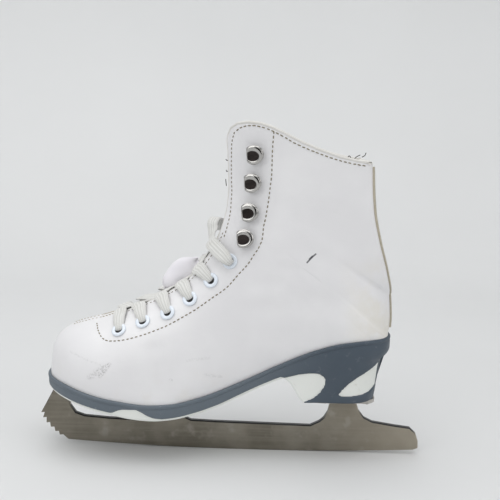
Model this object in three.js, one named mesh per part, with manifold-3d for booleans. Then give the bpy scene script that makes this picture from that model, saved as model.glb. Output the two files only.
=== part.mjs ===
// Left figure skate: lasted leather upper on a two-colour moulded sole, steel runner on two plates.
// Millimetres, +Z up, toe towards -X, lateral side towards -Y.
// The origin is the middle of the heel seat, on top of the insole.
import * as THREE from "three";
import { mergeVertices } from "three/addons/utils/BufferGeometryUtils.js";
import Module from "manifold-3d";

const wasm = await Module();
wasm.setup();

// ---- Driving sizes ----
const SOLE_LENGTH = 229.5; // toe to heel over the sole's rim
const BALL_WIDTH = 78; // of the upper at the feather line
const SEAT_HEIGHT = 83.2; // insole top over the ice
const COLLAR_HEIGHT = 222; // front peak of the collar over the ice
const WALL = 3; // leather with its lining
const GAP = 0.3; // between pieces that touch
const INSOLE = 3;
const TONGUE = 5;
const RIM_WIDTH = 1.4; // the sole's rim round the foot of the upper
const RIM_RISE = 2.2; // the rim's top over the footbed
const BAND = 4; // sidewall of the slate band
const BOTTOM_LAYER = 1.6; // white layer under the band
const BLADE = 4;
const PLATE = 2.5;
const EYELET = { flange: 9.8, hole: 5, barrel: 6, rise: 1.1, off: 0.6 };
const HOOK = { width: 11.5, metal: 0.9, rise: 5 };
const LACE = { width: 9.5, thick: 1.4 };
const TONGUE_GAP = 0.8; // under the eyelets' barrels

// The pattern below is drawn at one size. These carry it to the sizes above.
const PATTERN = { length: 229.5, ball: 78, seat: 83.2, collar: 222 };
const gradeX = (x) => (x * SOLE_LENGTH) / PATTERN.length;
const gradeY = (y) => (y * BALL_WIDTH) / PATTERN.ball;
// height over the ice to Z
function level(h) {
  const over = h - PATTERN.seat;
  if (over < 0) return (over * SEAT_HEIGHT) / PATTERN.seat;
  return (over * (COLLAR_HEIGHT - SEAT_HEIGHT)) / (PATTERN.collar - PATTERN.seat);
}
const side = (points) => points.map(([x, h]) => [gradeX(x), level(h)]);

// Smooth function through [x, y] points with no overshoot.
function curve(points) {
  const n = points.length;
  const step = [];
  const slope = [];
  for (let i = 0; i < n - 1; i++) {
    step.push(points[i + 1][0] - points[i][0]);
    slope.push((points[i + 1][1] - points[i][1]) / step[i]);
  }
  const tangent = [slope[0]];
  for (let i = 1; i < n - 1; i++) {
    const flat = slope[i - 1] * slope[i] <= 0;
    const w1 = 2 * step[i] + step[i - 1];
    const w2 = step[i] + 2 * step[i - 1];
    tangent.push(flat ? 0 : (w1 + w2) / (w1 / slope[i - 1] + w2 / slope[i]));
  }
  tangent.push(slope[n - 2]);
  return (x) => {
    if (x <= points[0][0]) return points[0][1];
    if (x >= points[n - 1][0]) return points[n - 1][1];
    let i = 0;
    while (x > points[i + 1][0]) i++;
    const u = (x - points[i][0]) / step[i];
    const a = 2 * u ** 3 - 3 * u ** 2 + 1;
    const b = u ** 3 - 2 * u ** 2 + u;
    const c = u ** 3 - u ** 2;
    return a * points[i][1] + b * step[i] * tangent[i] + (1 - a) * points[i + 1][1] + c * step[i] * tangent[i + 1];
  };
}

// ---- Solids ----
function solid(geometry) {
  geometry.deleteAttribute("normal");
  geometry.deleteAttribute("uv");
  const merged = mergeVertices(geometry, 1e-4);
  return new wasm.Manifold(
    new wasm.Mesh({
      numProp: 3,
      vertProperties: merged.attributes.position.array,
      triVerts: new Uint32Array(merged.index.array),
    }),
  );
}

// A closed solid through rings of equal length. Caps join point k of a ring to its opposite number.
function loft(rings) {
  const count = rings[0].length;
  const vertices = rings.flat(2);
  const faces = [];
  const at = (i, j) => i * count + ((j + count) % count);
  for (let i = 0; i < rings.length - 1; i++)
    for (let j = 0; j < count; j++) {
      faces.push(at(i, j), at(i, j + 1), at(i + 1, j + 1));
      faces.push(at(i, j), at(i + 1, j + 1), at(i + 1, j));
    }
  const last = rings.length - 1;
  for (let low = 0, high = count - 1; low < high - 1; ) {
    const turn = low > count - 1 - high;
    const next = turn ? high - 1 : low + 1;
    faces.push(at(0, low), at(0, high), at(0, next));
    faces.push(at(last, high), at(last, low), at(last, next));
    if (turn) high--;
    else low++;
  }
  const geometry = new THREE.BufferGeometry();
  geometry.setAttribute("position", new THREE.Float32BufferAttribute(vertices, 3));
  geometry.setIndex(faces);
  const made = solid(geometry);
  if (made.volume() >= 0) return made;
  const turned = [];
  for (let i = 0; i < faces.length; i += 3) turned.push(faces[i], faces[i + 2], faces[i + 1]);
  geometry.setIndex(turned);
  return solid(geometry);
}

function prism(points, depth) {
  const shape = new THREE.Shape(points.map(([a, b]) => new THREE.Vector2(a, b)));
  return new THREE.ExtrudeGeometry(shape, { depth, bevelEnabled: false, steps: 1 });
}
// side view (x, z) outline carried from y0 to y1
function sidePrism(points, y0, y1) {
  return solid(prism(points, y1 - y0).rotateX(Math.PI / 2).translate(0, y1, 0));
}
// plan (x, y) outline carried from z0 to z1
function planPrism(points, z0, z1) {
  return solid(prism(points, z1 - z0).translate(0, 0, z0));
}
const WIDE = 90;
const all = (...solids) => solids.reduce((a, b) => a.add(b));

// ---- The last's plan: half width and middle line along the foot ----
const HEEL_TIP = 32;
const TOE_TIP = -194.6;
const planHalf = curve([
  [-195, 38.4], [-150, 38.6], [-130, 38.2], [-115, 36.4], [-100, 32.8], [-80, 28.6],
  [-60, 26.4], [-40, 26.3], [-20, 27.5], [0, 28.7], [15, 28.8], [32, 28.8],
]);
const planMiddle = curve([
  [-195, 7], [-175, 4], [-150, 0.8], [-125, -1], [-100, -1.8], [-70, -2], [-40, -1.5], [-10, -0.3], [32, 0],
]);
function roundEnd(distance, reach, power) {
  if (distance <= 0) return 0;
  if (distance >= reach) return 1;
  return (1 - (1 - distance / reach) ** power) ** (1 / power);
}
function halfPlan(x) {
  return planHalf(x) * roundEnd(x - TOE_TIP, 43, 2.1) * roundEnd(HEEL_TIP - x, 29, 2.15);
}

// ---- Heights along the sole ----
const rimTop = curve([
  [-196, 50.8], [-181, 49.6], [-168, 47], [-148.7, 43.4], [-123, 40.9], [-110, 41.4], [-91, 45.4],
  [-65.7, 55.3], [-40.5, 67.5], [-15.4, 78.3], [2, 83.1], [16, 84.6], [34, 84.8],
]);
const soleBottom = curve([
  [-196, 42], [-188, 40.8], [-180, 39.4], [-168, 37], [-150, 33.8], [-135, 31], [-120, 30], [-108, 30.8],
  [-97, 33], [-81, 38.2], [-65.5, 45.6], [-50, 53.2], [-37, 58.4], [-20, 61.4],
]);
const footbed = (x) => rimTop(x) - RIM_RISE - 0.6 * THREE.MathUtils.smoothstep(x, -60, -10);

function stations(from, to, count) {
  return Array.from({ length: count + 1 }, (_, i) => from + ((to - from) * i) / count);
}
// everything under a height function of x
function under(height, lift = 0, from = -240, to = 70) {
  const top = stations(from, to, 34).map((x) => [gradeX(x), level(height(x)) + lift]);
  return sidePrism([[gradeX(from), -200], ...top, [gradeX(to), -200]].reverse(), -WIDE, WIDE);
}

// ---- The last: sections from toe to collar ----
// foot end x, h; crest end x, h; half width; where it is widest; roundness of the crest and of the foot end
const SECTIONS = [
  [-194.4, 0, -194.4, 60, 0, 0.4, 2.5, 2],
  [-193.2, 0, -193.2, 68.5, 0, 0.38, 2.45, 2],
  [-190.2, 0, -190.4, 74.6, 0, 0.36, 2.4, 2],
  [-185, 0, -185.4, 79.6, 0, 0.35, 2.35, 2],
  [-177, 0, -177.8, 84, 0, 0.34, 2.35, 2],
  [-167, 0, -168, 87.3, 0, 0.33, 2.3, 2],
  [-154, 0, -155.4, 91.1, 0, 0.32, 2.25, 2],
  [-140, 0, -143, 96.4, 0, 0.31, 2.3, 2],
  [-124, 0, -130, 102.8, 0, 0.31, 2.4, 2],
  [-104, 0, -116.2, 110.7, 36.4, 0.31, 2.6, 2],
  [-80, 0, -103, 120.4, 33, 0.34, 2.8, 2],
  [-52, 0, -93.1, 132.6, 31, 0.38, 3, 2],
  [-22, 0, -85.8, 145.6, 31.2, 0.42, 3, 2.1],
  [4, 0, -82.1, 157, 32.2, 0.45, 3, 2.15],
  [20, 72, -80.3, 165.4, 32.5, 0.46, 3, 2.2],
  [28.5, 75.4, -79.6, 171, 32.5, 0.46, 3, 2.25],
  [32.3, 83, -79.4, 176.2, 32.3, 0.46, 3, 2.25],
  [33.3, 94, -79.2, 181.4, 32, 0.46, 3, 2.2],
  [32.2, 110, -79.6, 188, 31.6, 0.47, 3, 2.15],
  [27.2, 129, -79.9, 195.2, 31.2, 0.48, 3, 2.1],
  [20.8, 149, -80.2, 202.6, 31.4, 0.49, 3, 2.05],
  [16.2, 168, -80.9, 210.8, 32.2, 0.5, 3, 2.05],
  [14.2, 186, -81.8, 219, 33.4, 0.5, 3, 2.05],
  [13.2, 204, -82.7, 227.1, 34.6, 0.5, 3, 2.05],
  [12.4, 222, -83.6, 235.2, 35.4, 0.5, 3, 2.05],
];
const UNDERCUT = 6; // how far the form runs on under the footbed
const BULGE = 0.6; // of the side over the feather line
const BACK_SEAM = 0.5; // half width where the two sides meet
const column = (k) => curve(SECTIONS.map((row, t) => [t, row[k]]));
const [footX, footH, crestX, crestH, waist, widest, crestRound, footRound] = SECTIONS[0].map((_, k) => column(k));
const OPEN_ROWS = SECTIONS.filter((row) => row[1] === 0).length;
const PLAN_ROWS = SECTIONS.filter((row) => row[4] === 0).length;
const TOP = SECTIONS.length - 1;

function section(t) {
  const fx = footX(t);
  const open = footbed(fx) - UNDERCUT;
  const mix = THREE.MathUtils.smoothstep(t, OPEN_ROWS - 1, OPEN_ROWS);
  const fh = t >= OPEN_ROWS ? footH(t) : open * (1 - mix) + SECTIONS[OPEN_ROWS][1] * mix;
  const planned = halfPlan(fx) + BULGE;
  const blend = THREE.MathUtils.smoothstep(t, PLAN_ROWS - 1, PLAN_ROWS);
  const later = t >= PLAN_ROWS ? waist(t) : SECTIONS[PLAN_ROWS][4];
  const half = planned * (1 - blend) + later * blend;
  return {
    foot: [gradeX(fx), level(fh)],
    crest: [gradeX(crestX(t)), level(crestH(t))],
    half: gradeY(half),
    footHalf: gradeY(footHalf(t, fx, fh, half)),
    middle: gradeY(planMiddle(fx)),
    widest: widest(t),
    crestRound: crestRound(t),
    footRound: footRound(t),
  };
}
// half width at the foot end for which the side meets the plan's outline at the rim's height
function footHalf(t, fx, fh, half) {
  const run = crestX(t) - fx;
  const climb = crestH(t) - fh;
  let share = 0;
  for (let i = 0; i < 6; i++) share = Math.max(rimTop(fx + run * share) - fh, 0) / climb;
  const plan = halfPlan(fx + run * share);
  const power = footRound(t);
  const grown = (1 - (1 - Math.min(share / widest(t), 0.95)) ** power) ** (1 / power);
  return Math.max((plan - half * grown) / (1 - grown), 0.4 * plan, BACK_SEAM);
}

// turn runs from 0 at the lateral foot end over 1 at the crest to 2 at the medial foot end
function bare(t, turn) {
  const s = section(t);
  const medial = turn > 1;
  const u = medial ? 2 - turn : turn;
  const WIDEST_AT = 0.4;
  let along;
  let half;
  if (u < WIDEST_AT) {
    const angle = ((u / WIDEST_AT) * Math.PI) / 2;
    along = s.widest * (1 - Math.cos(angle) ** (2 / s.footRound));
    half = s.footHalf + (s.half - s.footHalf) * Math.sin(angle) ** (2 / s.footRound);
  } else {
    const angle = (((u - WIDEST_AT) / (1 - WIDEST_AT)) * Math.PI) / 2;
    along = s.widest + (1 - s.widest) * Math.sin(angle) ** (2 / s.crestRound);
    half = s.half * Math.cos(angle) ** (2 / s.crestRound);
  }
  const x = s.foot[0] + (s.crest[0] - s.foot[0]) * along;
  const z = s.foot[1] + (s.crest[1] - s.foot[1]) * along;
  return new THREE.Vector3(x, s.middle + (medial ? half : -half), z);
}
function normal(t, turn) {
  const e = 0.06;
  const alongT = bare(Math.min(t + e, TOP), turn).sub(bare(Math.max(t - e, 0), turn));
  const alongTurn = bare(t, Math.min(turn + e, 2)).sub(bare(t, Math.max(turn - e, 0)));
  return alongT.cross(alongTurn).normalize();
}
// the last's surface, lifted off by so much
function skin(t, turn, lift = 0) {
  return bare(t, turn).addScaledVector(normal(t, turn), lift);
}
const SKIN_ROWS = stations(0, 7, 8).concat(stations(7, TOP, 16).slice(1));
function form(lift, turns = 18) {
  const around = stations(0, 2, turns);
  return loft(SKIN_ROWS.map((t) => around.map((turn) => skin(t, turn, lift).toArray())));
}

// Where a point of the side view lies on the lateral skin. The medial one is at 2 - turn.
function locate(x, h) {
  const wanted = [gradeX(x), level(h)];
  let best = [1e9, 0, 0];
  for (const t of stations(5, TOP, 190))
    for (const turn of stations(0.3, 1, 70)) {
      const p = bare(t, turn);
      const miss = Math.hypot(p.x - wanted[0], p.z - wanted[1]);
      if (miss < best[0]) best = [miss, t, turn];
    }
  return { t: best[1], turn: best[2] };
}

// ---- Upper ----
const THROAT_FROM = 6.5;
const throatHalf = curve([
  [6.5, 0.6], [6.6, 4], [6.8, 6.4], [7.2, 8.2], [8, 10], [9, 12], [10, 13.5], [11, 14.4], [12, 15], [24, 16],
]);
// a body across the front of the shoe, of a half width that changes along the sections
function frontBody(from, to, half, start, end) {
  return loft(
    stations(from, to, Math.round((to - from) * 3)).map((t) => {
      const s = section(t);
      const at = (k, y) => [
        s.foot[0] + (s.crest[0] - s.foot[0]) * k,
        s.middle + y,
        s.foot[1] + (s.crest[1] - s.foot[1]) * k,
      ];
      const w = half(t);
      return [at(start, -w), at(end, -w), at(end, w), at(start, w)];
    }),
  );
}
const COLLAR = side([
  [-92, 205], [-79, 209.5], [-78.3, 214], [-76.6, 218], [-72.8, 220.8], [-66, 222], [-58, 221.4], [-50.7, 219.3],
  [-42.4, 215.6], [-32.8, 211], [-20.1, 206.2], [-7.3, 202.3], [3, 200.2], [12.4, 199], [40, 198.2],
]);
function overCollar() {
  return sidePrism([...COLLAR, [80, 400], [-200, 400]].reverse(), -WIDE, WIDE);
}
const EYELETS = [
  [-144.9, 86.6], [-129.5, 93], [-113.5, 99.6], [-99.5, 108.9], [-86.4, 121.2], [-74.5, 133.9],
].map(([x, h]) => locate(x, h));
const HOOKS = [
  [-65, 148.8], [-62.4, 165.6], [-61.2, 184.6], [-60.4, 202.6],
].map(([x, h]) => locate(x, h));

// right-handed axes on the skin: out is the normal, rear points away from the throat
function seat({ t, turn }, medial, lift) {
  const at = medial ? 2 - turn : turn;
  const out = normal(t, at);
  const rear = new THREE.Vector3(1, 0, 0.1);
  rear.addScaledVector(out, -rear.dot(out)).normalize();
  const up = out.clone().cross(rear);
  const place = new THREE.Matrix4().makeBasis(rear, up, out);
  return place.setPosition(skin(t, at, lift));
}
function placed(geometry, matrix) {
  return solid(geometry.applyMatrix4(matrix));
}
function lathe(profile, segments) {
  const points = profile.map(([r, z]) => new THREE.Vector2(r, z));
  return new THREE.LatheGeometry(points, segments).rotateX(Math.PI / 2);
}
function makeUpper(outer, inner) {
  let upper = outer.subtract(inner);
  upper = upper.subtract(frontBody(THROAT_FROM, TOP, (t) => gradeY(throatHalf(t)), 0.72, 1.3));
  upper = upper.subtract(overCollar()).subtract(under(footbed, GAP));
  const r = EYELET.barrel / 2 + GAP;
  for (const medial of [false, true])
    for (const eyelet of EYELETS) {
      const drill = lathe([[0, -WALL - 4], [r, -WALL - 4], [r, 4], [0, 4]], 8);
      upper = upper.subtract(placed(drill, seat(eyelet, medial, 0)));
    }
  return largest(upper);
}
const SLACK = 0.08; // by which a needless vertex may be off the surface
// the biggest piece of a cut body, without its crumbs and its needless vertices
function largest(body) {
  const main = body.decompose().sort((a, b) => b.volume() - a.volume())[0];
  return main.simplify(SLACK);
}

// ---- Tongue and insole ----
const TONGUE_FROM = 5.6;
const TONGUE_TO = 21;
const tongueHalf = curve([[5.6, 12], [6.2, 17], [8, 20], [12, 22], [21, 23.5]]);
function makeTongue() {
  const shell = form(-WALL - TONGUE_GAP, 14).subtract(form(-WALL - TONGUE_GAP - TONGUE, 14));
  const band = frontBody(TONGUE_FROM, TONGUE_TO, (t) => gradeY(tongueHalf(t)), 0.6, 1.3);
  return largest(all(shell.intersect(band), pucker()));
}
// the tongue's padding, pushed up between the third and the fourth crossing: a neck and a long head
const PUCKER = { neck: [0.6, 1.3], rise: 8.2, long: 12.5, wide: 6, high: 4.4, back: 7 };
function pucker() {
  const at = EYELETS[3].t;
  const crest = crossing(2).lerp(crossing(3), 0.47);
  const out = normal(at, 1);
  const rear = new THREE.Vector3(0, 1, 0).cross(out).normalize();
  const place = new THREE.Matrix4().makeBasis(rear, out.clone().cross(rear), out).setPosition(crest);
  const head = new THREE.SphereGeometry(1, 10, 7).scale(PUCKER.long, PUCKER.wide, PUCKER.high);
  head.translate(-PUCKER.back, 0, PUCKER.rise);
  const neck = lathe([[0, -8], [1, -8], [1, PUCKER.rise], [0, PUCKER.rise]], 8);
  neck.scale(PUCKER.neck[0], PUCKER.neck[1], 1);
  return all(placed(head, place), placed(neck, place));
}
function makeInsole() {
  const low = under(footbed, GAP);
  const high = under(footbed, GAP + INSOLE);
  return largest(form(-WALL - GAP).intersect(high).subtract(low));
}

// ---- Sole ----
const DEPTHS = [0, 4, 9, 12, 15.5, 17, 36, 46];
const foreInset = curve([[0, 0], [4, 0], [9, 0.5], [12, 1.2], [46, 1.2]]);
const heelInset = curve([[0, 0], [9, 0.3], [15.5, 1.2], [36, 4.4], [46, 5.6]]);
const rearInset = curve([[0, 0], [4, -0.5], [9, -0.4], [12, 1], [15.5, 5], [17, 5.6], [36, 7.8], [46, 9.4]]);
// the sole's outer form with straight drop to far below; inset moves its sides in
function soleForm(inset, top = 0) {
  const count = 16;
  const spread = stations(0, Math.PI, count).map((a) => {
    return TOE_TIP + ((HEEL_TIP - TOE_TIP) * (1 - Math.cos(a))) / 2;
  });
  const outline = (x, sign) => new THREE.Vector2(gradeX(x), gradeY(planMiddle(x) + sign * halfPlan(x)));
  const ringPoint = (k, sign, depth) => {
    const x = spread[k];
    const before = outline(spread[Math.max(k - 1, 0)], sign);
    const after = outline(spread[Math.min(k + 1, count)], sign);
    const run = after.sub(before).normalize();
    const out = new THREE.Vector2(-run.y * sign, run.x * sign);
    if (k === 0) out.set(-1, 0);
    if (k === count) out.set(1, 0);
    const heel = THREE.MathUtils.smoothstep(x, -50, -8);
    const rear = Math.max(out.x, 0) ** 2;
    const sideways = heelInset(depth) * (1 - rear) + rearInset(depth) * rear;
    const moved = RIM_WIDTH + GAP - inset - foreInset(depth) * (1 - heel) - sideways * heel;
    const p = outline(x, sign).addScaledVector(out, moved);
    return [p.x, p.y, level(rimTop(x) - depth) + (depth === 0 ? top : 0)];
  };
  return loft(
    DEPTHS.map((depth) => {
      const ring = [];
      for (let k = 0; k <= count; k++) ring.push(ringPoint(k, -1, depth));
      for (let k = count - 1; k > 0; k--) ring.push(ringPoint(k, 1, depth));
      return ring;
    }),
  );
}
const HEEL_BOTTOM = 41.6;
const BREAST = [[-37, 57.8], [-33.4, 55.4], [-30.4, 51], [-27.6, 46], [-24.6, HEEL_BOTTOM]];
// the side view of the sole's underside, moved down by drop
function soleSide(drop) {
  const fore = stations(-205, -40, 20).map((x) => [gradeX(x), level(soleBottom(x)) - drop]);
  const heel = side([...BREAST, [60, HEEL_BOTTOM]]).map(([x, z]) => [x, z - drop]);
  return sidePrism([...fore, ...heel, [gradeX(60), 40], [gradeX(-205), 40]], -WIDE, WIDE);
}
const WINDOWS = {
  heelFront: [
    [-60, 44], [-37.6, 58.6], [-34.8, 59.7], [-28, 61.6], [-20.6, 62.7], [-15.5, 62.6], [-11.5, 60.9], [-9.4, 57.7],
    [-9.8, 53.6], [-12.6, 48.6], [-16.1, 44.9], [-19.6, 43], [-24.4, 41.4], [-30, 38], [-60, 38],
  ],
  heelRear: [
    [-2.2, 47.4], [0.6, 51.6], [5, 56.2], [10, 60], [17, 63.6], [23, 66.4], [28, 69], [45, 70], [45, 51],
    [24, 50.4], [20, 48.2], [15, 46.8], [8, 46.2], [0.5, 46],
  ],
  ball: [
    [-152, 28], [-151, 34.4], [-147, 35.8], [-143.3, 37.6], [-140.6, 38.2], [-131.6, 38.4], [-128, 36.8],
    [-124, 34.4], [-120.8, 33], [-116, 32], [-112, 28],
  ],
};
const REAR_RIB = 4; // half width of the slate rib between the rear windows
function grown(points, by) {
  const n = points.length;
  return points.map((p, i) => {
    const a = points[(i + n - 1) % n];
    const b = points[(i + 1) % n];
    const dx = b[0] - a[0];
    const dz = b[1] - a[1];
    const size = Math.hypot(dx, dz);
    return [p[0] - (dz / size) * by, p[1] + (dx / size) * by];
  });
}
function windows(by) {
  const made = [];
  for (const [name, points] of Object.entries(WINDOWS)) {
    const outline = grown(side(points), by);
    const from = name === "heelRear" ? REAR_RIB - by : 12;
    for (const sign of [-1, 1]) {
      const ys = [sign * from, sign * WIDE].sort((a, b) => a - b);
      made.push(sidePrism([...outline].reverse(), ys[0], ys[1]));
    }
  }
  // the breast and the thin layer under forefoot and waist
  const layer = under(soleBottom, BOTTOM_LAYER + by, -240, -36);
  return all(layer, ...made);
}
function makeSole() {
  const whole = soleForm(0).intersect(soleSide(0));
  const floor = under(footbed);
  const inside = soleForm(BAND + GAP).intersect(soleSide(0)).intersect(floor);
  const flush = soleForm(0.5).intersect(soleSide(0)).intersect(floor).intersect(windows(0));
  const core = largest(all(inside, flush));
  const foot = form(GAP).subtract(under(footbed));
  const hollow = soleForm(BAND, 30).subtract(
    sidePrism([[gradeX(-28), level(HEEL_BOTTOM + 3)], [60, level(HEEL_BOTTOM + 3)], [60, -200], [gradeX(-28), -200]].reverse(), -WIDE, WIDE),
  );
  const coreCut = all(hollow.intersect(under(footbed, 20)), windows(GAP));
  const band = largest(whole.subtract(foot).subtract(coreCut));
  const heelFloor = sidePrism(
    [[gradeX(-60), level(HEEL_BOTTOM + 3) + GAP], [60, level(HEEL_BOTTOM + 3) + GAP], [60, 60], [gradeX(-60), 60]],
    -WIDE, WIDE,
  );
  const fore = sidePrism([[gradeX(-240), -200], [gradeX(-28), -200], [gradeX(-28), 60], [gradeX(-240), 60]], -WIDE, WIDE);
  return { band, core: largest(all(inside.intersect(all(heelFloor, fore)), flush)) };
}

// ---- Steel ----
const ROCKER = 2100; // radius of the runner's edge
const PICKS = [[-200.7, 21.9], [-199.4, 18.3], [-197, 14.8], [-194.1, 11.7], [-191, 8.8], [-188, 6.4]];
const PICK_NOTCH = [2.4, 0.3];
const plateUnder = (x) => level(soleBottom(x)) - GAP - PLATE;
const HEEL_PLATE_UNDER = level(HEEL_BOTTOM) - GAP - PLATE;
function bladeOutline() {
  const edge = stations(-182, 54, 16).map((x) => [x, (x + 61) ** 2 / (2 * ROCKER)]);
  const toe = PICKS.flatMap(([x, h]) => [[x, h], [x + PICK_NOTCH[0], h + PICK_NOTCH[1]]]);
  const tail = [
    [57.4, 4.4], [57.2, 9.4], [55.2, 15], [51.2, 18.6], [41.2, 19.8], [25.3, 22.2], [19.7, 24.9], [15.6, 30],
    [14, 34.5],
  ];
  const arch = [
    [-4.2, 34], [-5.4, 28.3], [-8, 24], [-11, 21.4], [-17, 18.4], [-82, 19.2], [-98.6, 19.7], [-102.2, 21.4],
    [-105, 24.6],
  ];
  const bridge = [[-128, 18.6], [-154, 19.4], [-171, 20.6], [-177, 22.6], [-180.8, 27.8]];
  const heelTop = [14, -4].map((x) => [gradeX(x), HEEL_PLATE_UNDER - GAP]);
  const underPlate = (from, to) => stations(from, to, 5).map((x) => [gradeX(x), plateUnder(x) - GAP]);
  return [
    ...side([...toe, ...edge, ...tail]),
    ...heelTop,
    ...side(arch),
    ...underPlate(-106.5, -124),
    ...side(bridge),
    ...underPlate(-182.2, -192.3),
  ];
}
function makeBlade() {
  return sidePrism(bladeOutline(), -BLADE / 2, BLADE / 2);
}
function roundedPlan(x0, x1, half0, half1, radius) {
  const corners = [[x0, -half0, 180], [x1, -half1, 270], [x1, half1, 0], [x0, half0, 90]];
  const outline = [];
  for (const [x, y, start] of corners)
    for (const turn of stations(0, 90, 4)) {
      const a = THREE.MathUtils.degToRad(start + turn);
      const cx = x + (x === x0 ? radius : -radius);
      const cy = y - Math.sign(y) * radius;
      outline.push([gradeX(cx) + radius * Math.cos(a), gradeY(cy) + radius * Math.sin(a)]);
    }
  return outline;
}
const FORE_SCREWS = [[-170, 8], [-142, 13], [-113, 18]];
const HEEL_SCREWS = [[-9, 11], [19, 10]];
const SCREW = { head: 7, shank: 3.4, rise: 1.2 };
function makePlates() {
  const fore = planPrism(roundedPlan(-191, -104, 9, 27, 8), level(0), level(60))
    .intersect(under(soleBottom, -GAP))
    .subtract(under(soleBottom, -GAP - PLATE));
  const heel = planPrism(roundedPlan(-19, 25, 17, 15, 8), HEEL_PLATE_UNDER, level(HEEL_BOTTOM) - GAP);
  return { fore, heel };
}
function screws() {
  const made = [];
  const head = () => lathe([[0, -SCREW.rise], [SCREW.head / 2 - 0.8, -SCREW.rise], [SCREW.head / 2, 0], [0, 0]], 8);
  let n = 1;
  for (const [x, y] of FORE_SCREWS)
    for (const sign of [-1, 1]) {
      const slope = (level(soleBottom(x + 1)) - level(soleBottom(x - 1))) / gradeX(2);
      const place = new THREE.Matrix4().makeRotationY(-Math.atan(slope));
      place.setPosition(gradeX(x), gradeY(sign * y), level(soleBottom(x)) - 2 * GAP - PLATE - 0.1);
      made.push([`toe_screw_${n++}`, placed(head(), place)]);
    }
  n = 1;
  for (const [x, y] of HEEL_SCREWS)
    for (const sign of [-1, 1]) {
      const place = new THREE.Matrix4().makeTranslation(gradeX(x), gradeY(sign * y), HEEL_PLATE_UNDER - GAP);
      made.push([`heel_screw_${n++}`, placed(head(), place)]);
    }
  return made;
}

// ---- Eyelets, hooks, lace ----
function eyelet(where, medial) {
  const outer = EYELET.flange / 2;
  const tube = EYELET.barrel / 2;
  const bore = EYELET.hole / 2;
  const profile = [
    [bore, -WALL - 0.2], [tube, -WALL - 0.2], [tube, EYELET.off], [outer, EYELET.off],
    [outer - 0.5, EYELET.off + EYELET.rise], [bore, EYELET.off + 0.5], [bore, -WALL - 0.2],
  ];
  return placed(lathe(profile, 8), seat(where, medial, 0));
}
function hook(where, medial) {
  const m = HOOK.metal;
  const top = HOOK.rise;
  const fold = [];
  const back = -4.4;
  for (const a of stations(270, 90, 4)) {
    const angle = THREE.MathUtils.degToRad(a);
    fold.push([back + (top / 2) * 0.7 + (top / 2) * Math.cos(angle) * 0.7, top / 2 + (top / 2) * Math.sin(angle)]);
  }
  const inner = fold.map(([x, z]) => [back + top * 0.35 + (x - back - top * 0.35) * 0.64, top / 2 + (z - top / 2) * (1 - (2 * m) / top)]);
  const outline = [[3.6, 0], [3.6, m], ...inner, [6.6, top - m + 0.5], [6.6, top + 0.5], ...fold.reverse()];
  const strip = sidePrism([...dedupe(outline)], -HOOK.width / 2, HOOK.width / 2);
  const head = [[-5, -HOOK.width / 2], [0.2, -HOOK.width / 2]];
  for (const a of stations(-72, 72, 4)) {
    const angle = THREE.MathUtils.degToRad(a);
    head.push([0.2 + (HOOK.width / 2) * Math.cos(angle), (HOOK.width / 2) * Math.sin(angle)]);
  }
  head.push([0.2, HOOK.width / 2], [-5, HOOK.width / 2]);
  const body = strip.intersect(planPrism(head, -1, top + 3));
  const washer = solid(lathe([[0, 0], [4.8, 0], [4.4, m + 0.3], [0, m + 0.3]], 8));
  const matrix = seat(where, medial, GAP + 0.15);
  return all(body, washer).transform(matrix.toArray());
}
function dedupe(points) {
  return points.filter((p, i) => i === 0 || Math.hypot(p[0] - points[i - 1][0], p[1] - points[i - 1][1]) > 1e-3);
}
// flat lace through points with their outward directions
function ribbon(points, outs) {
  const rings = points.map((p, i) => {
    const run = points[Math.min(i + 1, points.length - 1)].clone().sub(points[Math.max(i - 1, 0)]).normalize();
    const out = outs[i].clone().addScaledVector(run, -outs[i].dot(run)).normalize();
    const across = run.clone().cross(out);
    const corner = (a, b) => p.clone().addScaledVector(across, (a * LACE.width) / 2).addScaledVector(out, (b * LACE.thick) / 2).toArray();
    return [corner(-1, -1), corner(1, -1), corner(1, 1), corner(-1, 1)];
  });
  return loft(rings);
}
const LACE_LIFT = EYELET.off + EYELET.rise + LACE.thick / 2 + 1.1;
const FAR_TUCK = 0.15; // share of the way down to the last row at which a strand meets the far edge
// turn of the throat's edge, counted on the lateral side
function edgeTurn(t) {
  const half = gradeY(throatHalf(t)) + 1.2;
  return stations(0.5, 1, 80).find((turn) => section(t).middle - bare(t, turn).y < half);
}
// where a strand goes square over the throat's edge
function nearestEdge({ t, turn }) {
  const eyelet = skin(t, turn);
  const away = (s) => skin(s, edgeTurn(s)).distanceTo(eyelet);
  return stations(Math.max(t - 1, THROAT_FROM + 0.3), t, 24).sort((a, b) => away(a) - away(b))[0];
}
const farEdge = (from, to) => to.t - (to.t - from.t) * FAR_TUCK;
// from one eyelet over both edges to the next one across
function strand(from, to, fromMedial) {
  const near = nearestEdge(from);
  const far = from === to ? near : farEdge(from, to);
  const marks = [
    [from.t, from.turn], [near, (from.turn + edgeTurn(near)) / 2], [near, edgeTurn(near)],
    [far, 2 - edgeTurn(far)], [far, 2 - (to.turn + edgeTurn(far)) / 2], [to.t, 2 - to.turn],
  ].map(([t, turn]) => [t, fromMedial ? 2 - turn : turn]);
  const points = marks.map(([t, turn]) => skin(t, turn, LACE_LIFT));
  const outs = marks.map(([t, turn]) => normal(t, turn));
  const out = outs[2].clone().add(outs[3]).normalize();
  points.splice(3, 0, points[2].clone().lerp(points[3], 0.5).addScaledVector(out, fromMedial ? -0.4 : 0.4));
  outs.splice(3, 0, out);
  return ribbon(points, outs);
}
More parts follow.
